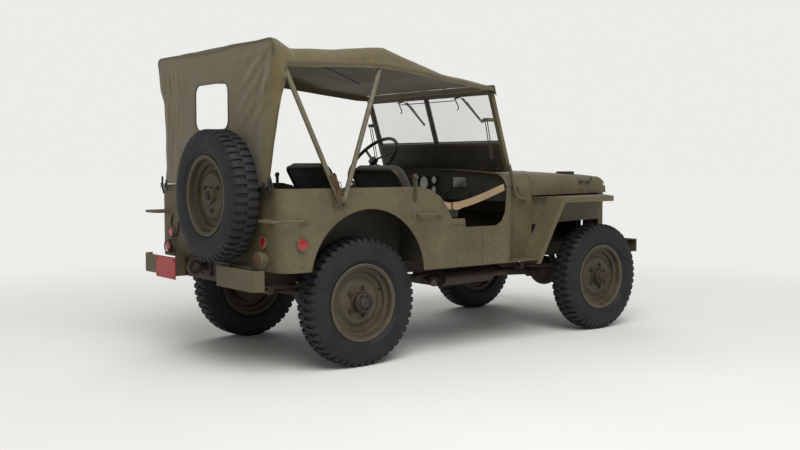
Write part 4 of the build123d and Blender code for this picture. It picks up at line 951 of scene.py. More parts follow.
# %% Folds
FOLDS = (  # a soft ridge between two places (station, side, height): half-width, height or hollow
    ((-0.576, 0.66, 1.74), (-0.576, 0.55, 1.38), 0.020, 0.0070),
    ((-0.576, 0.56, 1.77), (-0.576, 0.47, 1.45), 0.018, -0.0060),
    ((-0.576, 0.60, 1.75), (-0.576, 0.40, 1.60), 0.014, 0.0050),
    ((-0.576, 0.45, 1.77), (-0.576, 0.38, 1.50), 0.016, 0.0050),
    ((-0.576, 0.62, 1.40), (-0.570, 0.60, 1.03), 0.024, -0.0060),
    ((-0.576, 0.42, 1.30), (-0.576, 0.47, 1.03), 0.026, 0.0050),
    ((-0.576, -0.68, 1.76), (-0.576, -0.42, 1.58), 0.014, 0.0060),
    ((-0.576, -0.66, 1.75), (-0.576, -0.26, 1.68), 0.013, 0.0055),
    ((-0.576, -0.69, 1.72), (-0.576, -0.56, 1.40), 0.018, 0.0065),
    ((-0.576, -0.64, 1.72), (-0.576, -0.46, 1.36), 0.014, -0.0050),
    ((-0.576, -0.60, 1.40), (-0.570, -0.56, 1.03), 0.028, 0.0060),
    ((-0.576, -0.36, 1.30), (-0.576, -0.50, 1.03), 0.024, -0.0050),
    ((-0.576, -0.20, 1.31), (-0.576, -0.26, 1.03), 0.030, 0.0045),
    ((-0.576, 0.10, 1.31), (-0.576, 0.04, 1.03), 0.034, -0.0045),
    ((-0.50, -0.715, 1.655), (0.15, -0.70, 1.765), 0.020, 0.0070),
    ((-0.44, -0.715, 1.66), (0.02, -0.71, 1.70), 0.015, -0.0050),
    ((0.16, -0.70, 1.765), (0.52, -0.69, 1.655), 0.020, 0.0050),
    ((0.17, -0.69, 1.77), (0.80, -0.68, 1.635), 0.016, 0.0045),
    ((0.50, -0.69, 1.65), (1.00, -0.665, 1.60), 0.013, -0.0035),
    ((-0.50, 0.715, 1.655), (0.15, 0.70, 1.765), 0.020, 0.0070),
    ((0.16, 0.70, 1.765), (0.56, 0.69, 1.655), 0.020, 0.0050),
    ((-0.55, 0.00, 1.78), (0.16, 0.12, 1.785), 0.022, 0.0050),
    ((-0.52, -0.34, 1.77), (0.15, -0.30, 1.785), 0.020, -0.0050),
    ((-0.50, 0.36, 1.77), (0.14, 0.42, 1.785), 0.024, 0.0045),
    ((0.18, -0.22, 1.785), (0.98, -0.20, 1.62), 0.018, 0.0050),
    ((0.18, 0.26, 1.785), (0.98, 0.22, 1.62), 0.020, 0.0050),
    ((0.18, 0.02, 1.785), (0.98, 0.00, 1.62), 0.022, -0.0050),
)
WAVES = (  # turns along station, side and height, start, level
    (17.0, 9.0, 5.0, 0.3, 1.0), (-8.0, 21.0, 11.0, 1.7, 0.8), (31.0, -13.0, 19.0, 2.9, 0.5),
    (6.0, 34.0, -23.0, 4.1, 0.4), (47.0, 26.0, 38.0, 0.9, 0.22))
PLEAT, PULL = 0.062, 0.075  # spacing of the curtain's pleats (left) and of its pulls (right)


def rising(distance, over):
    """0 up to a line, rising to 1 over a distance past it."""
    return np.clip(distance / over, 0, 1)


def ripple(points):
    """How far fixed small waves, and the curtain's pleats and pulls, push each point outwards."""
    x, y, z = points[:, 0], points[:, 1], points[:, 2]
    total = sum(level * np.sin(a * x + b * y + c * z + turn) for a, b, c, turn, level in WAVES)
    rear = rising(REAR + 0.05 - (x - REAR_AXLE), 0.04)
    left = rising(y - 0.30, 0.15) * rising(z - 1.05, 0.25) * rising(1.76 - z, 0.08)
    pleats = left * np.sin(2 * math.pi * y / PLEAT + 1.5 * np.sin(5 * z) + 4 * (z - 1.4))
    right = rising(-0.28 - y, 0.12) * rising(z - 1.30, 0.15) * rising(1.77 - z, 0.05)
    pulls = right * np.sin(2 * math.pi * (0.62 * y + 0.78 * z) / PULL + 1.2 * np.sin(9 * y))
    return 0.0011 * total + rear * (0.0021 * pleats + 0.0019 * pulls)


def near_window(points):
    """0 at the window's edge, rising to 1 some way from it."""
    middle_side, middle_height, half_w, half_h = WINDOW
    side = np.abs(points[:, 1] - middle_side) - half_w
    height = np.abs(points[:, 2] - middle_height) - half_h
    gap = np.hypot(np.maximum(side, 0), np.maximum(height, 0))
    rear_face = points[:, 0] - REAR_AXLE < REAR + 0.02
    return np.where(rear_face, rising(gap - 0.008, 0.07), 1.0)


CORE = (np.array(at(-0.44, -0.60, 0.5)), np.array(at(3.0, 0.60, 1.60)))  # cloth is pushed from this
FRONT_HEM = 0.12  # over which the folds fade out to a tenth


def draped(points):
    """Where points of the flat-sided canvas go once it is rounded and folded."""
    points = round_corners(np.asarray(points, dtype=float))
    outward = points - np.clip(points, *CORE)
    outward /= np.maximum(np.linalg.norm(outward, axis=1, keepdims=True), 1e-6)
    push = ripple(points)
    for start, end, width, height in FOLDS:
        start, end = np.array(at(*start)), np.array(at(*end))
        line = end - start
        along = np.clip((points - start) @ line / (line @ line), 0, 1)
        gap = np.linalg.norm(points - start - along[:, None] * line, axis=1)
        fade = np.sin(np.pi * np.clip(along * 0.86 + 0.07, 0, 1)) ** 0.6
        push = push + height * fade * np.exp(-(gap / width) ** 2)
    push = push * np.clip((FRONT - (points[:, 0] - REAR_AXLE)) / FRONT_HEM, 0.1, 1)
    return points + outward * (push * near_window(points))[:, None]


def drape(piece):
    """Rounds and folds all the points of a piece along with the sheet."""
    put_points(piece, draped(points_of(piece)))


drape(canvas)
settle(canvas, "duck_top", canvas_duck, "car", 50)
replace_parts(canvas, "canvas_top")

# %% [markdown]
# ### Seams, hems and the window's binding
# Cut cloth is bound: a doubled strip runs along the roof's rear edge, the flaps and the skirts,
# and the window has a sewn binding. The strips that lie on the sheet are pressed into
# the same folds.

# %% Strips on the canvas
HEM_LIFT, HEM_THICK = 0.0004, 0.0016
STRIP_STEP = 0.02  # spacing of a strip's points


def skirt_half(station, height):
    """The half-width outside the skirt at a station and height."""
    columns = list(zip(*ROOF))
    foot, edge, top, bend = [np.interp(station, columns[0], column) for column in columns[1:]]
    return float(np.interp(height, (EAVES, top - bend), (foot, edge))) + DUCK


def fine(points, step=STRIP_STEP):
    """The same broken line with points every few centimetres."""
    line = []
    for start, end in zip(points, points[1:]):
        start, end = Vector(start), Vector(end)
        count = max(1, int((end - start).length / step))
        line += [start.lerp(end, n / count) for n in range(count)]
    return [tuple(point) for point in line + [Vector(points[-1])]]


def draped_strip(points, across, width, thickness, outward):
    """A raw strap that is pressed into the sheet's folds."""
    piece = strip(points, across, width, thickness, outward)
    drape(piece)
    return piece


def hem(edge_points, width, direction):
    """A doubled strip laid on the side of the sheet, from its edge towards a direction."""
    direction = Vector(direction)
    outward = [Vector((0, math.copysign(1, point[1]), 0)) for point in edge_points]
    points = [at(*point) + direction * width / 2 + out * HEM_LIFT
              for point, out in zip(edge_points, outward)]
    return draped_strip(points, direction, width, HEM_THICK, outward)


hems = []
for side in BOTH:
    skirt = [(s, side * skirt_half(s, z + 0.011), z) for s, z in SKIRT_EDGE]
    flap = [(s + 0.0003, side * float(between(CURTAIN_HALF, z)), z) for z, s in FLAP_EDGE[:4]]
    hems += [hem(fine(skirt), 0.022, (0, 0, 1)), hem(fine(flap), 0.020, (-1, 0, 0))]
joined(hems, "skirt_hems", seam_duck)
front = mirrored([(-0.668, EAVES), (-0.665, 1.592), (-0.655, 1.598), (-0.600, 1.600)])
front_hem = strip([at(1.028, y, z) for y, z in front], Vector((-0.25, 0, 1)), 0.056, 0.004,
                  Vector((1, 0, 0.25)))
settle(front_hem, "front_hem", seam_duck)
bend = 0.045  # of the roof's rear corner
rear_edge = [(-0.7068, 1.700), (-0.703, 1.745)]
rear_edge += [(-0.658 - bend * math.cos(a), 1.745 + bend * math.sin(a)) for a in (0.4, 0.8, 1.2)]
rear_edge = mirrored(rear_edge + [(-0.658, 1.789)])
line = fine([(REAR - 0.0006, y, z) for y, z in rear_edge], 0.018)
inward = [(Vector((0, 0, 1.62)) - Vector((0, y * 0.86, z))).normalized() for _, y, z in line]
seam = draped_strip([at(*point) + way * 0.012 for point, way in zip(line, inward)], inward, 0.022,
                    HEM_THICK, Vector((-1, 0, 0)))
settle(seam, "rear_seam", seam_duck)
roof_seams = []
for side in (-0.22, 0.24):
    top_line = fine([(s, side, top + DUCK + HEM_LIFT) for s, _, _, top, _ in ROOF])
    roof_seams.append(draped_strip([at(*point) for point in top_line], Vector((0, 1, 0)), 0.018,
                                   0.0013, Vector((0, 0, 1))))
joined(roof_seams, "roof_seams", canvas_duck)
binding = bar(window_loop(REAR - 0.001, 0.003, 0.055), 0.0042, closed=True, sides=3)
settle(binding, "window_binding", seam_duck)
print("hems and seams laid")

# %% [markdown]
# ## Seats
# Each pad starts a little smaller than its solid, is remeshed evenly, and is then blown up as
# cloth by a light pressure, so that its skin bulges and puckers. Piping runs round the cushions'
# upper edges.

# %% Padded seats
TICK = 0.002  # how far cloth may bulge past its solid


def loose_parts(node):
    """Raw copies of the separate solids of a node."""
    solid = NODES[node]
    copy = drawn("pads", [solid.matrix_world @ vertex.co for vertex in solid.data.vertices],
                 [tuple(polygon.vertices) for polygon in solid.data.polygons])
    with editing(copy):
        bpy.ops.mesh.remove_doubles(threshold=0.0001)
        bpy.ops.mesh.separate(type="LOOSE")
    return list(bpy.context.selected_objects)


def filled(piece, most, frames=20):
    """Where a light pressure brings the points of a pad, each by no more than a distance."""
    start = points_of(piece)
    skin = piece.modifiers.new("skin", "CLOTH")
    skin.settings.use_pressure = True
    skin.settings.uniform_pressure_force = 4.0
    skin.settings.effector_weights.gravity = 0.0
    skin.settings.quality = 4
    skin.point_cache.frame_start, skin.point_cache.frame_end = 1, frames
    for frame in range(1, frames + 1):
        bpy.context.scene.frame_set(frame)
    move = points_of(piece.evaluated_get(bpy.context.evaluated_depsgraph_get())) - start
    piece.modifiers.remove(skin)
    bpy.context.scene.frame_set(1)
    length = np.maximum(np.linalg.norm(move, axis=1, keepdims=True), 1e-9)
    return start + move * np.minimum(1, most / length)


def plumped(piece, shrink=0.006, voxel=0.008, most=0.009):
    """Shrinks a pad, remeshes it and lets a light pressure fill it again."""
    points = points_of(piece)
    low, high = points.min(axis=0), points.max(axis=0)
    centre, size = (low + high) / 2, high - low
    put_points(piece, centre + (points - centre) * (1 - 2 * shrink / size))
    modified(piece, "REMESH", mode="VOXEL", voxel_size=voxel)
    points = filled(piece, most)
    put_points(piece, np.clip(points, low - TICK, high + TICK))
    return modified(piece, "SUBSURF", levels=1)


for node, name in (("front_seat_pads", "front_pads"), ("rear_seat_pads", "rear_pads")):
    pads = [plumped(pad) for pad in loose_parts(node)]
    padded = joined(pads, name, seat_duck, "car", 60)
    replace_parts(padded, node)
    print(name, len(padded.data.polygons), "faces")

# %% Covers over the seat backs
covers = []
SEAT_BACK = 0.925  # height at which the covers start
COVER_HALF, COVER_BEND = 0.232, 0.062
for top, side in zip((1.122, 1.108), BOTH):
    outline = [(-0.226, SEAT_BACK), (-COVER_HALF, top - 0.075)]
    outline += [(-COVER_HALF + COVER_BEND * (1 - math.cos(a)),
                 top - COVER_BEND + COVER_BEND * math.sin(a))
                for a in np.linspace(0.2, math.pi / 2, 6)]
    rear = [at(0.402 - (z - SEAT_BACK) * 0.59, side * 0.375 + y, z) for y, z in mirrored(outline)]
    covers.append(modified(prism(rear, (0.044, 0, 0.026)), "BEVEL", width=0.013, segments=3,
                           limit_method="ANGLE"))
joined(covers, "seat_back_covers", seat_duck, "car", 60)
print("covers", len(covers))

# %% Piping
PIPING_BEND = 0.04
edges = [((0.436, 0.137), (0.798, 0.613), 0.862), ((0.436, -0.613), (0.798, -0.137), 0.862),
         ((-0.403, -0.456), (-0.030, 0.456), 0.934)]  # two corners (station, side) and the height
piping = [bar([at(x, y, height) for x, y in rounded_rectangle(low, high, PIPING_BEND, 5)], 0.0045,
              closed=True, sides=3) for low, high, height in edges]
joined(piping, "seat_piping", seam_duck)
print("piping round", len(piping), "cushions")

# %% [markdown]
# ## Safety straps
# A webbing strap closes each doorway: it hangs slack from a folded, stitched end behind and rises
# to a hook at the cowl.

# %% Straps and hooks
STRAP_SIDE = 0.7425
IRONS = (  # places (station, out from the strap, height), radius, whether the loop is closed
    (((0.600, 0.008, 0.871), (0.596, 0.008, 0.912), (0.604, 0.008, 0.913), (0.608, 0.008, 0.872)),
     0.0022, True),
    (((1.030, 0.002, 1.015), (1.036, 0.002, 0.975), (1.050, 0.002, 0.984), (1.046, 0.002, 1.020)),
     0.0026, True),
    (((1.045, 0, 1.000), (1.062, 0.004, 1.004), (1.072, 0.010, 0.998), (1.068, 0.012, 0.990)),
     0.0034, False),
    (((0.540, 0.001, 0.926), (0.528, 0.005, 0.914), (0.532, 0.005, 0.890), (0.546, 0.001, 0.886)),
     0.0030, False))


def smooth_path(points, count=24):
    """Points on a soft curve that starts, bends and ends at the given places."""
    start, *middles, end = [Vector(point) for point in points]
    path = []
    for n in range(count + 1):
        t = n / count
        if len(middles) == 1:
            path.append(start * (1 - t) ** 2 + middles[0] * 2 * t * (1 - t) + end * t ** 2)
        else:
            path.append(start * (1 - t) ** 3 + middles[0] * 3 * t * (1 - t) ** 2
                        + middles[1] * 3 * t ** 2 * (1 - t) + end * t ** 3)
    return path


def ribbon(path, widths, thickness, outward, wave=0.0):
    """A raw strap along a path whose width changes, with a slight wave across it."""
    outward = Vector(outward).normalized()
    last = len(path) - 1
    rows = []
    for n, point in enumerate(path):
        ahead = (path[min(n + 1, last)] - path[max(n - 1, 0)]).normalized()
        half = np.interp(n / last, np.linspace(0, 1, len(widths)), widths) / 2
        rows.append(section(point + outward * wave * math.sin(n * 1.9),
                            outward.cross(ahead).normalized() * half, outward * thickness))
    return walled(rows)


def beside_strap(side, places):
    """Places near a doorway's strap, from (station, out from it, height)."""
    return [at(station, side * (STRAP_SIDE + out), height) for station, out, height in places]


webs, irons = [], []
for side in BOTH:
    out = (0, side, 0)
    bends = ((0.536, 0, 0.905), (0.600, 0, 0.876), (0.700, 0, 0.884), (1.035, 0, 0.996))
    webs.append(ribbon(smooth_path(beside_strap(side, bends), 30),
                       (0.030, 0.036, 0.042, 0.041, 0.042, 0.042, 0.040), 0.0030, out, 0.0006))
    fold = ((0.600, 0.003, 0.8905), (0.640, 0.0042, 0.886), (0.672, 0.003, 0.889))
    webs.append(ribbon(beside_strap(side, fold), (0.034, 0.040, 0.036), 0.0028, out))
    irons += [bar(beside_strap(side, places), radius, closed=closed)
              for places, radius, closed in IRONS]
straps = joined(webs, "webbing_straps", tan_webbing)
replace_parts(straps, "safety_straps")
joined(irons, "strap_irons", dark_steel)
print("straps", len(webs), "webs and", len(irons), "irons")

# %% [markdown]
# ## Lamps
# Headlamps and marker lamps have rims and lenses. Of the tail lamps, the left one is round with a
# red lens and a small clear one, and the right one is a blackout lamp with two slits. Round
# reflectors sit above them.

# %% Headlamps and markers
rims, glasses = [], []
LAMPS = ((0.303, 0.868, 0.078, 2.381), (0.303, 0.725, 0.030, 2.391))  # side, height, radius, front
for side in BOTH:
    for across, height, radius, front in LAMPS:
        rim = [(-0.010, radius + 0.001), (0.001, radius + 0.003), (0.004, radius + 0.001),
               (0.004, radius * 0.90), (-0.002, radius * 0.88)]
        glass = [(0.001, radius * 0.90), (0.004, radius * 0.70), (0.006, radius * 0.4), (0.007, 0)]
        centre = at(front, side * across, height)
        rims.append(lathed(rim, centre, (1, 0, 0)))
        glasses.append(lathed(glass, centre, (1, 0, 0)))
joined_all({"headlamp_rims": (rims, bright_steel), "headlamp_lenses": (glasses, clear_lens)})

# %% Tail lamps and reflectors
LAMP_SIDE, LAMP_HEIGHT, LAMP_REAR = 0.557, 0.626, -0.594
LEFT_LAMP = at(LAMP_REAR, LAMP_SIDE, LAMP_HEIGHT)
RIGHT_LAMP = at(LAMP_REAR, -LAMP_SIDE, LAMP_HEIGHT)
TURNED = (  # name, profile, middle, steps, finish
    ("tail_lamp_rim", [(-0.012, 0.0455), (0.003, 0.0465), (0.006, 0.044), (0.006, 0.039),
                       (0.001, 0.038)], LEFT_LAMP, 40, black_enamel),
    ("tail_lamp_lens", [(0.001, 0.039), (0.006, 0.030), (0.009, 0.015), (0.010, 0)],
     LEFT_LAMP, 40, red_lens),
    ("number_lamp_lens", [(0.004, 0.012), (0.0105, 0.011), (0.0125, 0.006), (0.013, 0)],
     LEFT_LAMP + Vector((0, 0, -0.022)), 24, clear_lens),
    ("blackout_cover", [(-0.012, 0.0455), (0.003, 0.0465), (0.008, 0.043), (0.010, 0.030),
                        (0.010, 0)], RIGHT_LAMP, 40, body_paint))
for name, profile, centre, steps, material in TURNED:
    settle(lathed(profile, centre, BACK, steps), name, material)
slits = [chamfered(RIGHT_LAMP + Vector((-0.0135, -0.020, height - 0.0045)),
                   RIGHT_LAMP + Vector((-0.0105, 0.020, height + 0.0045)), 0.001)
         for height in (0.012, -0.012)]
hoods = [block_at(RIGHT_LAMP + Vector((-0.014, 0, height)), (0.005, 0.023, 0.001), 0.0006, 1)
         for height in (0.019, -0.005)]
reds, bezels = [], []
for side in BOTH:
    for centre, way in ((at(-0.572, side * 0.560, 0.718), BACK),
                        (at(-0.446, side * 0.762, 0.715), Vector((0, side, 0)))):
        bezels.append(lathed([(-0.004, 0.0355), (0.002, 0.0365), (0.0035, 0.034), (0.001, 0.030)],
                             centre, way, 32))
        reds.append(lathed([(0, 0.0305), (0.003, 0.024), (0.0045, 0.012), (0.005, 0)],
                           centre, way, 32))
joined_all({"blackout_slits": (slits, red_lens), "blackout_hoods": (hoods, body_paint),
            "reflector_glasses": (reds, red_lens), "reflector_bezels": (bezels, body_paint)})

# %% [markdown]
# ## Windscreen
# Wipers hang from the top tube and are worked by a rod and by hand levers. A slotted stay sits
# inside each post. Rubber seals run round the panes, and bolts hold the frame's feet.

# %% Wipers, rod and stays
SLOPE = 0.32  # how far the windscreen leans back per metre of height
SCREEN_FOOT = (1.178, 1.100)  # station and height of a point on its plane
AHEAD = Vector((1, 0, SLOPE)).normalized()  # square to it, forwards
WIPER_TOP = 1.566
STAY_SIDE, STAY_TOP, STAY_FOOT = 0.604, 1.402, 1.176


def on_screen(side, height, ahead=0.0):
    """A place on the windscreen's plane, moved forwards by a small amount."""
    return at(SCREEN_FOOT[0] - SLOPE * (height - SCREEN_FOOT[1]), side, height) + AHEAD * ahead


def screen_line(*places):
    return [on_screen(*place) for place in places]


arms, blades = [], []
for pivot, low, high in ((0.270, 0.095, 0.232), (-0.318, -0.482, -0.345)):
    arms.append(bar(screen_line((pivot, WIPER_TOP, -0.030), (pivot, WIPER_TOP, 0.016)), 0.0055))
    arms.append(bar(screen_line((pivot, WIPER_TOP, 0.016), ((low + high) / 2, 1.476, 0.020)),
                    0.0028))
    lever = screen_line((pivot, WIPER_TOP, -0.026), (pivot - 0.012, 1.535, -0.030),
                        (pivot - 0.030, 1.505, -0.034), (pivot - 0.012, 1.497, -0.040))
    arms.append(bar(lever, 0.0034, curved=True))
    blades.append(bar(screen_line((high, 1.556, 0.013), (low, 1.398, 0.013)), 0.0075))
    blades.append(bar(screen_line((high - 0.028, 1.530, 0.020), (low + 0.035, 1.430, 0.020)),
                      0.0042))
arms.append(bar(screen_line((0.262, 1.553, -0.024), (-0.308, 1.553, -0.024)), 0.0028))
stays, knobs = [], []
for side in BOTH:
    y = side * STAY_SIDE
    top, foot = at(1.012, y, STAY_TOP), at(1.062, y, STAY_FOOT)
    gap, rise = Vector((0.009, 0, 0)), Vector((0, 0, 0.009))
    stays += [bar([top + gap * way, foot + gap * way], 0.0032) for way in (-1, 1)]
    stays += [bar([end - gap, end + rise * way, end + gap], 0.0032)
              for end, way in ((top, 1), (foot, -1))]
    knobs.append(lathed([(-0.004, 0), (-0.004, 0.011), (0.006, 0.014), (0.012, 0.012), (0.014, 0)],
                        at(1.010, y - side * 0.010, 1.412), (0, -side, 0), 20))
    knobs.append(chamfered(at(1.004, y, 1.402), at(1.072, y + side * 0.024, 1.424), 0.004))
joined_all({"wiper_arms": (arms, dark_steel), "wiper_blades": (blades, black_enamel),
            "windscreen_stays": (stays, chassis_paint), "stay_brackets": (knobs, body_paint)})

# %% Inner panel, a dark sheet of painted shade
PANEL_HALF = 0.616
# A thin dark sheet on the rear face of the windscreen's lower panel paints the shade that falls
# there under the roof.
panel = screen_line((-PANEL_HALF, 1.100, -0.0135), (PANEL_HALF, 1.100, -0.0135),
                    (PANEL_HALF, 1.262, -0.0135), (-PANEL_HALF, 1.262, -0.0135))
ledge = screen_line((-PANEL_HALF, 1.226, -0.016), (PANEL_HALF, 1.226, -0.016))
joined([prism(panel, AHEAD * -0.003), bar(ledge, 0.004)], "screen_shade_sheet", painted_shade_olive)
print("inner panel", 2 * PANEL_HALF, "wide")

# %% Seals and bolts
seals = []
for low, high in ((-0.612, -0.012), (0.012, 0.612)):
    corners = screen_line((low, 1.284, -0.004), (high, 1.284, -0.004), (high, 1.572, -0.004),
                          (low, 1.572, -0.004))
    seals.append(bar(corners, 0.0050, closed=True, sides=3))
joined(seals, "glass_seals", black_enamel)
places = []
for side in (-0.56, -0.42, -0.28, -0.14, 0.0, 0.14, 0.28, 0.42, 0.56):
    for height in (1.250, 1.112):
        places.append(facing(on_screen(side, height, -0.0165), -AHEAD))
        places.append(facing(on_screen(side, height, 0.0135), AHEAD))
copies(RIVET, places, "windscreen_rivets", body_paint)
print("windscreen rivets", len(places))

# %% [markdown]
# ## Bow fittings and canvas ties
# The two bows meet in a socket on each side. A leather strap is wrapped round the rear bow's leg
# above it, its tail hanging. Short straps and buckles tie the curtain's lower corners, and a loop
# hangs on the rear panel.

# %% Sockets and leather
PIVOT = (-0.210, 0.772, 0.945)  # station, side and height of the bows' pivot
LEG_TOP = (-0.300, 0.772, 1.157)  # and of a place up the rear bow's leg
WRAPS = ((0.045, 0.150, 0.0185), (0.050, 0.062, 0.0205), (0.088, 0.100, 0.0205),
         (0.130, 0.142, 0.0205))  # from and to along the leg, radius
PLATE_IN, SOCKET_OUT = 0.7495, 0.7560  # sides of the socket's plate


def on_side(side, *places):
    """Places of one side from (station, distance from the middle, height)."""
    return [at(station, side * across, height) for station, across, height in places]


leathers, sockets, socket_bolts = [], [], []
for side in BOTH:
    out = (0, side, 0)
    pivot, leg_top = on_side(side, PIVOT, LEG_TOP)
    up_leg = (leg_top - pivot).normalized()
    leathers += [bar([pivot + up_leg * start, pivot + up_leg * end], radius)
                 for start, end, radius in WRAPS]
    tail = on_side(side, (-0.236, 0.7935, 1.010), (-0.246, 0.7940, 0.975), (-0.228, 0.7940, 0.935))
    leathers.append(ribbon(smooth_path(tail, 10), (0.022, 0.022, 0.016), 0.0028, out, 0.0006))
    buckle = on_side(side, (-0.258, 0.792, 1.040), (-0.252, 0.794, 1.012), (-0.222, 0.794, 1.014),
                     (-0.228, 0.792, 1.042))
    leathers.append(bar(buckle, 0.0024, closed=True))
    sockets.append(chamfered(*on_side(side, (-0.248, PLATE_IN, 0.905), (-0.172, SOCKET_OUT, 0.985)),
                             0.003))
    boss = at(PIVOT[0], side * SOCKET_OUT, PIVOT[2])
    sockets.append(lathed([(0, 0.022), (0.010, 0.022), (0.014, 0.016), (0.030, 0.015),
                           (0.033, 0.012), (0.033, 0)], boss, out, 28))
    socket_bolts += [facing(at(s, side * SOCKET_OUT, z), out, 0.4)
                     for s in (-0.238, -0.182) for z in (0.916, 0.974)]
joined_all({"bow_leathers": (leathers, brown_leather), "bow_sockets": (sockets, body_paint)})
copies(SMALL_NUT, socket_bolts, "bow_socket_bolts", body_paint)

# %% Curtain ties and the hanging loop
REAR_FACE = -0.5765  # station of the curtain's outer face
TIES = ((0.650, 1.060, 0.955, 0.024), (0.594, 1.040, 0.975, 0.022))  # side, top, foot, width
BUCKLE = ((-0.017, -0.014), (0.017, -0.014), (0.017, 0.014), (-0.017, 0.014))
ties, buckles = [], []
for side in (1, -1):
    for across, high, low, wide in TIES:
        places = on_side(side, (REAR_FACE - 0.002, across, high), (REAR_FACE - 0.008, across, 1.01),
                         (REAR_FACE - 0.001, across - 0.012, low))
        ties.append(ribbon(smooth_path(places, 10), (wide, wide, wide * 0.8), 0.0030, BACK, 0.0010))
        centre = at(REAR_FACE - 0.009, side * (across - 0.004), 1.004)
        buckles.append(bar([centre + Vector((0, y, z)) for y, z in BUCKLE], 0.0026, closed=True))
        pin = Vector((0, 0.016, 0))
        buckles.append(bar([centre - pin, centre + pin], 0.0022))
hanging = on_side(1, (-0.563, 0.557, 0.817), (-0.569, 0.566, 0.760), (-0.570, 0.540, 0.690),
                  (-0.569, 0.480, 0.690), (-0.570, 0.456, 0.750), (-0.563, 0.448, 0.812))
ties.append(bar(hanging, 0.0045, curved=True))
for across in (0.557, 0.448):
    buckles.append(chamfered(at(-0.568, across - 0.013, 0.806), at(-0.560, across + 0.013, 0.828),
                             0.002))
joined_all({"curtain_ties": (ties, black_webbing), "tie_buckles": (buckles, dark_steel)})

# %% Roof strap
roof_strap = smooth_path([at(-0.40, -0.52, 1.722), at(0.05, -0.18, 1.742), at(0.55, 0.10, 1.655)],
                         14)
settle(ribbon(roof_strap, (0.022, 0.022), 0.0016, (0, 0.1, -1)), "roof_strap", black_webbing)
print("roof strap", len(roof_strap), "places")

# %% [markdown]
# ## Body fittings
# Small parts on the sheet metal: strap posts, handle feet, rivets, seams, steps, latches, catches
# and blocks.

# %% Strap posts and handle feet
POST, POST_TOP = (0.317, 0.761), 1.052  # station and side, height
PLATE_OUT = 0.7550
HANDLE_FEET = ((0.330, 0.034, 0.828, 0.866), (0.498, 0.034, 0.828, 0.866),
               (-0.435, 0.031, 0.820, 0.860))  # station, half-width, two heights
posts, feet, foot_bolts = [], [], []
for side in BOTH:
    out = (0, side, 0)
    foot, top = on_side(side, (*POST, 0.938), (*POST, POST_TOP))
    posts.append(bar([foot, top], 0.0085))
    posts.append(lathed([(-0.004, 0), (-0.003, 0.011), (0.006, 0.0155), (0.014, 0.0135),
                         (0.019, 0.007), (0.020, 0)], top, (0, 0, 1), 24))
    posts.append(chamfered(*on_side(side, (0.303, PLATE_IN, 0.930), (0.331, PLATE_OUT, 1.000)),
                           0.002))
    for station, half, under, over in HANDLE_FEET:
        feet.append(chamfered(*on_side(side, (station - half, PLATE_IN, under),
                                       (station + half, PLATE_OUT, over)), 0.004, 3))
        foot_bolts += [facing(at(station + gap, side * PLATE_OUT, (under + over) / 2), out)
                       for gap in (0.010 - half, half - 0.010)]
    feet.append(chamfered(*on_side(side, (-0.5652, 0.596, 0.820), (-0.5598, 0.660, 0.860)),
                          0.004, 3))
    foot_bolts += [facing(at(-0.565, side * across, 0.840), BACK) for across in (0.606, 0.650)]
joined_all({"strap_posts": (posts, wheel_paint), "handle_feet": (feet, body_paint)})
copies(RIVET, foot_bolts, "handle_bolts", body_paint)

# %% Rivets, seams and steps
BODY_SIDE = 0.7498
SIDE_RIVETS = (  # station, height
    (0.476, 0.772), (0.577, 0.774), (0.712, 0.739), (0.476, 0.585), (0.640, 0.560), (0.980, 0.560),
    (0.980, 0.720), (-0.440, 0.600), (-0.440, 0.960), (0.240, 0.985), (-0.060, 0.985),
    (-0.340, 0.985))
places = [facing(at(station, side * BODY_SIDE, height), (0, side, 0))
          for side in BOTH for station, height in SIDE_RIVETS]
places += [facing(at(-0.5602, across, 0.600), BACK) for across in (-0.38, -0.25, 0.25, 0.38)]
copies(RIVET, places, "body_rivets", body_paint)
seams = [chamfered(*on_side(side, (0.844, 0.7490, 0.532), (0.847, 0.7508, 0.745)), 0.0004, 1)
         for side in BOTH]
steps = [chamfered(*on_side(side, (0.596, 0.7050, 0.776), (0.706, 0.7545, 0.812)), 0.006, 3)
         for side in BOTH]
joined_all({"body_seams": (seams, dark_steel), "doorway_steps": (steps, body_paint)})

# %% Cowl latches, hood catches and blocks
EDGE_HEIGHT, EDGE_SIDE = 1.0, 0.7  # where a part sits if the node has nothing there


def nearest(node, start, way):
    """Where a ray from a place first meets a node, and the node's outward direction there."""
    solid = NODES[node]
    into = solid.matrix_world.inverted()
    hit, place, normal, _ = solid.ray_cast(into @ start, into.to_3x3() @ Vector(way))
    turn = solid.matrix_world.to_3x3()
    return (solid.matrix_world @ place, (turn @ normal).normalized()) if hit else None


def on_top(node, station, side):
    """The place on top of a node at a station and side."""
    found = nearest(node, at(station, side, 3.0), (0, 0, -1))
    return found[0] if found else at(station, side, EDGE_HEIGHT)


def beside(node, station, height, side):
    """The place on the outer side of a node at a station and height, and its outward direction."""
    found = nearest(node, at(station, side * 2.0, height), (0, -side, 0))
    return found or (at(station, side * EDGE_SIDE, height), Vector((0, side, 0)))


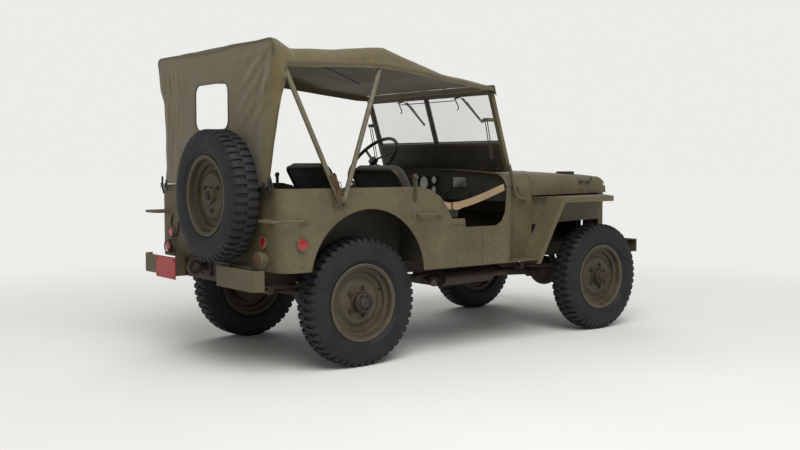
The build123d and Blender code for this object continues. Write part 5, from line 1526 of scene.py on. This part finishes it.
BLOCK_SIDE = 0.246
CATCHES = (2.050, 2.160)  # stations of a catch's two blocks
latches, blocks, catches, latch_bolts = [], [], [], []
for side in BOTH:
    place, normal = beside("cowl", 1.262, 0.985, side)
    latches.append(lathed([(0, 0), (0, 0.030), (0.004, 0.030), (0.006, 0.027), (0.006, 0)],
                          place, normal, 32))
    handle = place + normal * 0.008
    latches.append(bar([handle + Vector((-0.028, 0, 0.020)), place + normal * 0.014,
                        handle + Vector((0.030, 0, -0.022))], 0.005))
    latch_bolts.append(facing(place + normal * 0.012, normal))
    latch_bolts += [facing(*beside("cowl", station, 0.985, side)) for station in (1.226, 1.298)]
    block = chamfered(at(2.078, side * BLOCK_SIDE - 0.030, 0),
                      at(2.208, side * BLOCK_SIDE + 0.030, 1.084), 0.003)
    for vertex in block.data.vertices:
        if vertex.co.z < 0.5:  # its underside follows the hood
            vertex.co.z += on_top("hood", vertex.co.x - REAR_AXLE, vertex.co.y).z - 0.001
    blocks.append(block)
    for station in CATCHES:
        spot, _ = beside("hood", station, 1.000, side)
        catches.append(block_at(spot, (0.014, 0.004, 0.020), 0.002))
    (first, way), (last, _) = [beside("hood", station, 1.010, side) for station in CATCHES]
    lift = way * 0.018
    sag = (first + last) / 2 + lift * 1.4 + Vector((0, 0, -0.012))
    catches.append(bar([first, first + lift, sag, last + lift, last], 0.0045))
    catches.append(bar([last + lift, last + lift + Vector((0.020, 0, 0.020)),
                        last + lift * 0.5 + Vector((0.034, 0, 0.004))], 0.004))
joined_all({"cowl_latches": (latches, body_paint)})
copies(SMALL_NUT, latch_bolts, "cowl_latch_bolts", body_paint)
line = [on_top("hood", 1.436, y) + Vector((-0.004, 0, 0.002))
        for y in np.linspace(-0.52, 0.52, 27)]
hinge = [bar(line[n:n + 2], 0.0045) for n in range(0, len(line) - 1, 2)]
joined_all({"hood_blocks": (blocks, black_enamel), "hood_catches": (catches, dark_steel),
            "hood_hinge": (hinge, body_paint)}, "hood")
support = on_top("hood", 1.700, 0.0)
bracket = chamfered(support + Vector((-0.030, -0.022, -0.003)),
                    support + Vector((0.030, 0.022, 0.012)), 0.004)
settle(bracket, "hood_prop_bracket", body_paint, "hood")

# %% Windscreen feet, bumper and frame bolts
places = [facing(*beside("windscreen_frame", station, 0.922, side))
          for side in BOTH for station in (1.200, 1.262, 1.330)]
copies(SMALL_NUT, places, "screen_foot_bolts", body_paint)
places = [facing(at(2.559, across, height), (1, 0, 0), 0.3)
          for across in (-0.402, -0.340, 0.340, 0.402) for height in (0.528, 0.564)]
places += [facing(at(-0.619, across, height), BACK, 0.5)
           for across in (-0.046, 0.046) for height in (0.508, 0.584)]
copies(SMALL_NUT, places, "bumper_bolts", chassis_paint)
places = [facing(at(-0.704, across, height), BACK)
          for across in (0.243, 0.472) for height in (0.470, 0.571)]
copies(RIVET, places, "plate_rivets", dark_steel)
print("bolts done")

# %% Hub caps and their nuts
HUB_CAP = [(-0.030, 0.060), (0.003, 0.058), (0.008, 0.053), (0.010, 0.034), (0.018, 0.031),
           (0.023, 0.024), (0.024, 0)]
for place, side in WHEELS.items():
    node, body = f"wheel_{place}", f"road_wheel_{place}"
    centre = middle(node)
    centre.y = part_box(node)[1 if side > 0 else 0][1]
    settle(lathed(HUB_CAP, centre, (0, side, 0), 36), f"hub_cap_{place}", rusty_steel, body)
    nuts = [facing(spot, (0, side, 0)) for spot, _ in round_hub(centre, 0.044, side * 0.008, 6)]
    copies(SMALL_NUT, nuts, f"hub_nuts_{place}", rusty_steel, body)
print("hub caps on", len(WHEELS), "wheels")

# %% Rim edges with a painted highlight
RIM_EDGE, RIM_WIRE = 0.2172, 0.0028  # radius of the rim flange's crest and of the paler ring that paints a highlight on it
RIM_INSET = 0.0015


def ring(centre, axis):
    """A raw ring of round wire about an axis, as wide as a rim."""
    across = Vector(axis).orthogonal().normalized()
    other = Vector(axis).cross(across).normalized()
    around = [centre + RIM_EDGE * (math.cos(a) * across + math.sin(a) * other)
              for a in np.linspace(0, 2 * math.pi, 73)[:-1]]
    return bar(around, RIM_WIRE, closed=True, sides=2)


# A paler ring of bow paint laid on each rim's crest paints the highlight that light makes there.
for place, side in WHEELS.items():
    node = f"wheel_{place}"
    centre = middle(node)
    centre.y = side * (max(abs(corner[1]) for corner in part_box(node)) - RIM_INSET)
    settle(ring(centre, (0, side, 0)), f"rim_highlight_{place}", bow_paint, f"road_wheel_{place}")
centre = middle("spare_wheel")
centre.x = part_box("spare_wheel")[0][0] + RIM_INSET
settle(ring(centre, BACK), "rim_highlight_spare", bow_paint)
print("rim edges", len(WHEELS) + 1)

# %% [markdown]
# ## Dash and controls
# Five dials, a row of knobs and a blank data plate sit on the dash.

# %% Dials and knobs
DASH = 1.064  # station of the dash's face
DIALS = ((0.060, 1.010, 0.045), (-0.045, 1.030, 0.026), (-0.045, 0.965, 0.026),
         (0.160, 1.030, 0.026), (0.160, 0.965, 0.026))  # side, height, radius
KNOB = [(-0.002, 0.005), (0.014, 0.005), (0.016, 0.011), (0.024, 0.010), (0.026, 0)]
dials, faces = [], []
for across, height, radius in DIALS:
    centre = at(DASH, across, height)
    rim = [(-0.004, radius + 0.004), (0.004, radius + 0.005), (0.007, radius),
           (0.004, radius - 0.003)]
    dials.append(lathed(rim, centre, BACK, 36))
    faces.append(lathed([(0.001, radius), (0.0035, radius - 0.002), (0.0035, 0)], centre, BACK, 36))
knobs = [lathed(KNOB, at(DASH, across, 0.945), BACK, 20)
         for across in (-0.50, -0.42, -0.18, -0.12, 0.25, 0.31, 0.37)]
plate = chamfered(at(DASH - 0.003, -0.36, 0.985), at(DASH + 0.001, -0.24, 1.050), 0.001)
joined_all({"dial_rims": (dials, black_enamel), "dial_glasses": (faces, clear_lens),
            "dash_knobs": (knobs, black_enamel), "data_plate": ([plate], bright_steel)})

# %% [markdown]
# ## Studio
# A pale floor that runs into a pale background, a broad soft key light and a weak fill show the
# forms without hard shadows. The camera looks from behind the right rear wheel, a little above
# the belt line.

# %% Camera
CAMERA_PLACE = (-3.169, -5.0166, 1.1383)  # station, side, height
DOWN, HEADING = 3.63, 51.63  # degrees below level, and from straight ahead towards the left
camera_data = bpy.data.cameras.new("camera")
camera_data.sensor_width = 36
camera_data.lens = 43.4
camera = bpy.data.objects.new("camera", camera_data)
bpy.context.scene.collection.objects.link(camera)
camera.location = at(*CAMERA_PLACE)
camera.rotation_euler = (math.radians(90 - DOWN), 0, math.radians(HEADING - 90))
bpy.context.scene.camera = camera
print("camera at", CAMERA_PLACE)

# %% Floor, backdrop and light


def pale_ground():
    """A floor that is nearly white far away and still takes the shadow near the car."""
    finish = Finish("pale_ground", srgb(226, 225, 222), 0.85, specular_ior_level=0.1)
    cloud = finish.ramp(finish.noise(0.5, 3.0), 0.3, 0.7)
    finish.set("Base Color", finish.blend(cloud, srgb(232, 231, 228), srgb(238, 237, 234)))
    glow = finish.node("ShaderNodeEmission", {}, {"Color": (*srgb(237, 237, 233), 1)})
    reach = finish.node("ShaderNodeVectorMath", {"operation": "LENGTH"}, {0: finish.object_place},
                        "Value")
    rise = finish.node("ShaderNodeMapRange", {"interpolation_type": "SMOOTHSTEP"},
                       {"Value": reach, "From Min": 1.5, "From Max": 6.0})
    surface = Wire(finish, finish.shader.outputs[0])
    mix = finish.node("ShaderNodeMixShader", {}, {0: rise, 1: surface, 2: glow})
    finish.put(finish.tree.nodes["Material Output"].inputs["Surface"], mix)
    return finish.material


bpy.ops.object.select_all(action="DESELECT")
bpy.ops.mesh.primitive_plane_add(size=120, location=(0, 0, 0))
floor = bpy.context.object
floor.name = "studio_floor"
floor.data.materials.append(pale_ground())
world = bpy.data.worlds.new("studio")
bpy.context.scene.world = world
world.use_nodes = True
nodes, links = world.node_tree.nodes, world.node_tree.links
soft = nodes["Background"]
soft.inputs["Color"].default_value = (0.99, 0.985, 0.97, 1)
soft.inputs["Strength"].default_value = 0.42
seen = nodes.new("ShaderNodeBackground")
seen.inputs["Color"].default_value = (*srgb(236, 236, 232), 1)
path = nodes.new("ShaderNodeLightPath")
either = nodes.new("ShaderNodeMath")
either.operation = "MAXIMUM"
links.new(path.outputs["Is Camera Ray"], either.inputs[0])
links.new(path.outputs["Is Transmission Ray"], either.inputs[1])
mix = nodes.new("ShaderNodeMixShader")
for socket, wire in enumerate((either, soft, seen)):
    links.new(wire.outputs[0], mix.inputs[socket])
links.new(mix.outputs[0], nodes["World Output"].inputs["Surface"])
LIGHTS = (("key", (-2.6, -4.6, 7.0), 6.0, 560), ("fill", (4, 6, 6), 6, 160))  # place, size, watts
AIM = Vector((0, 0, 0.6))
for name, place, size, power in LIGHTS:
    light = bpy.data.lights.new(name, "AREA")
    light.size = size
    light.energy = power
    lamp = bpy.data.objects.new(name, light)
    lamp.location = place
    lamp.rotation_euler = (AIM - Vector(place)).to_track_quat("-Z", "Y").to_euler()
    bpy.context.scene.collection.objects.link(lamp)
bpy.context.scene.view_settings.view_transform = "Standard"
print("lights", [name for name, *_ in LIGHTS])
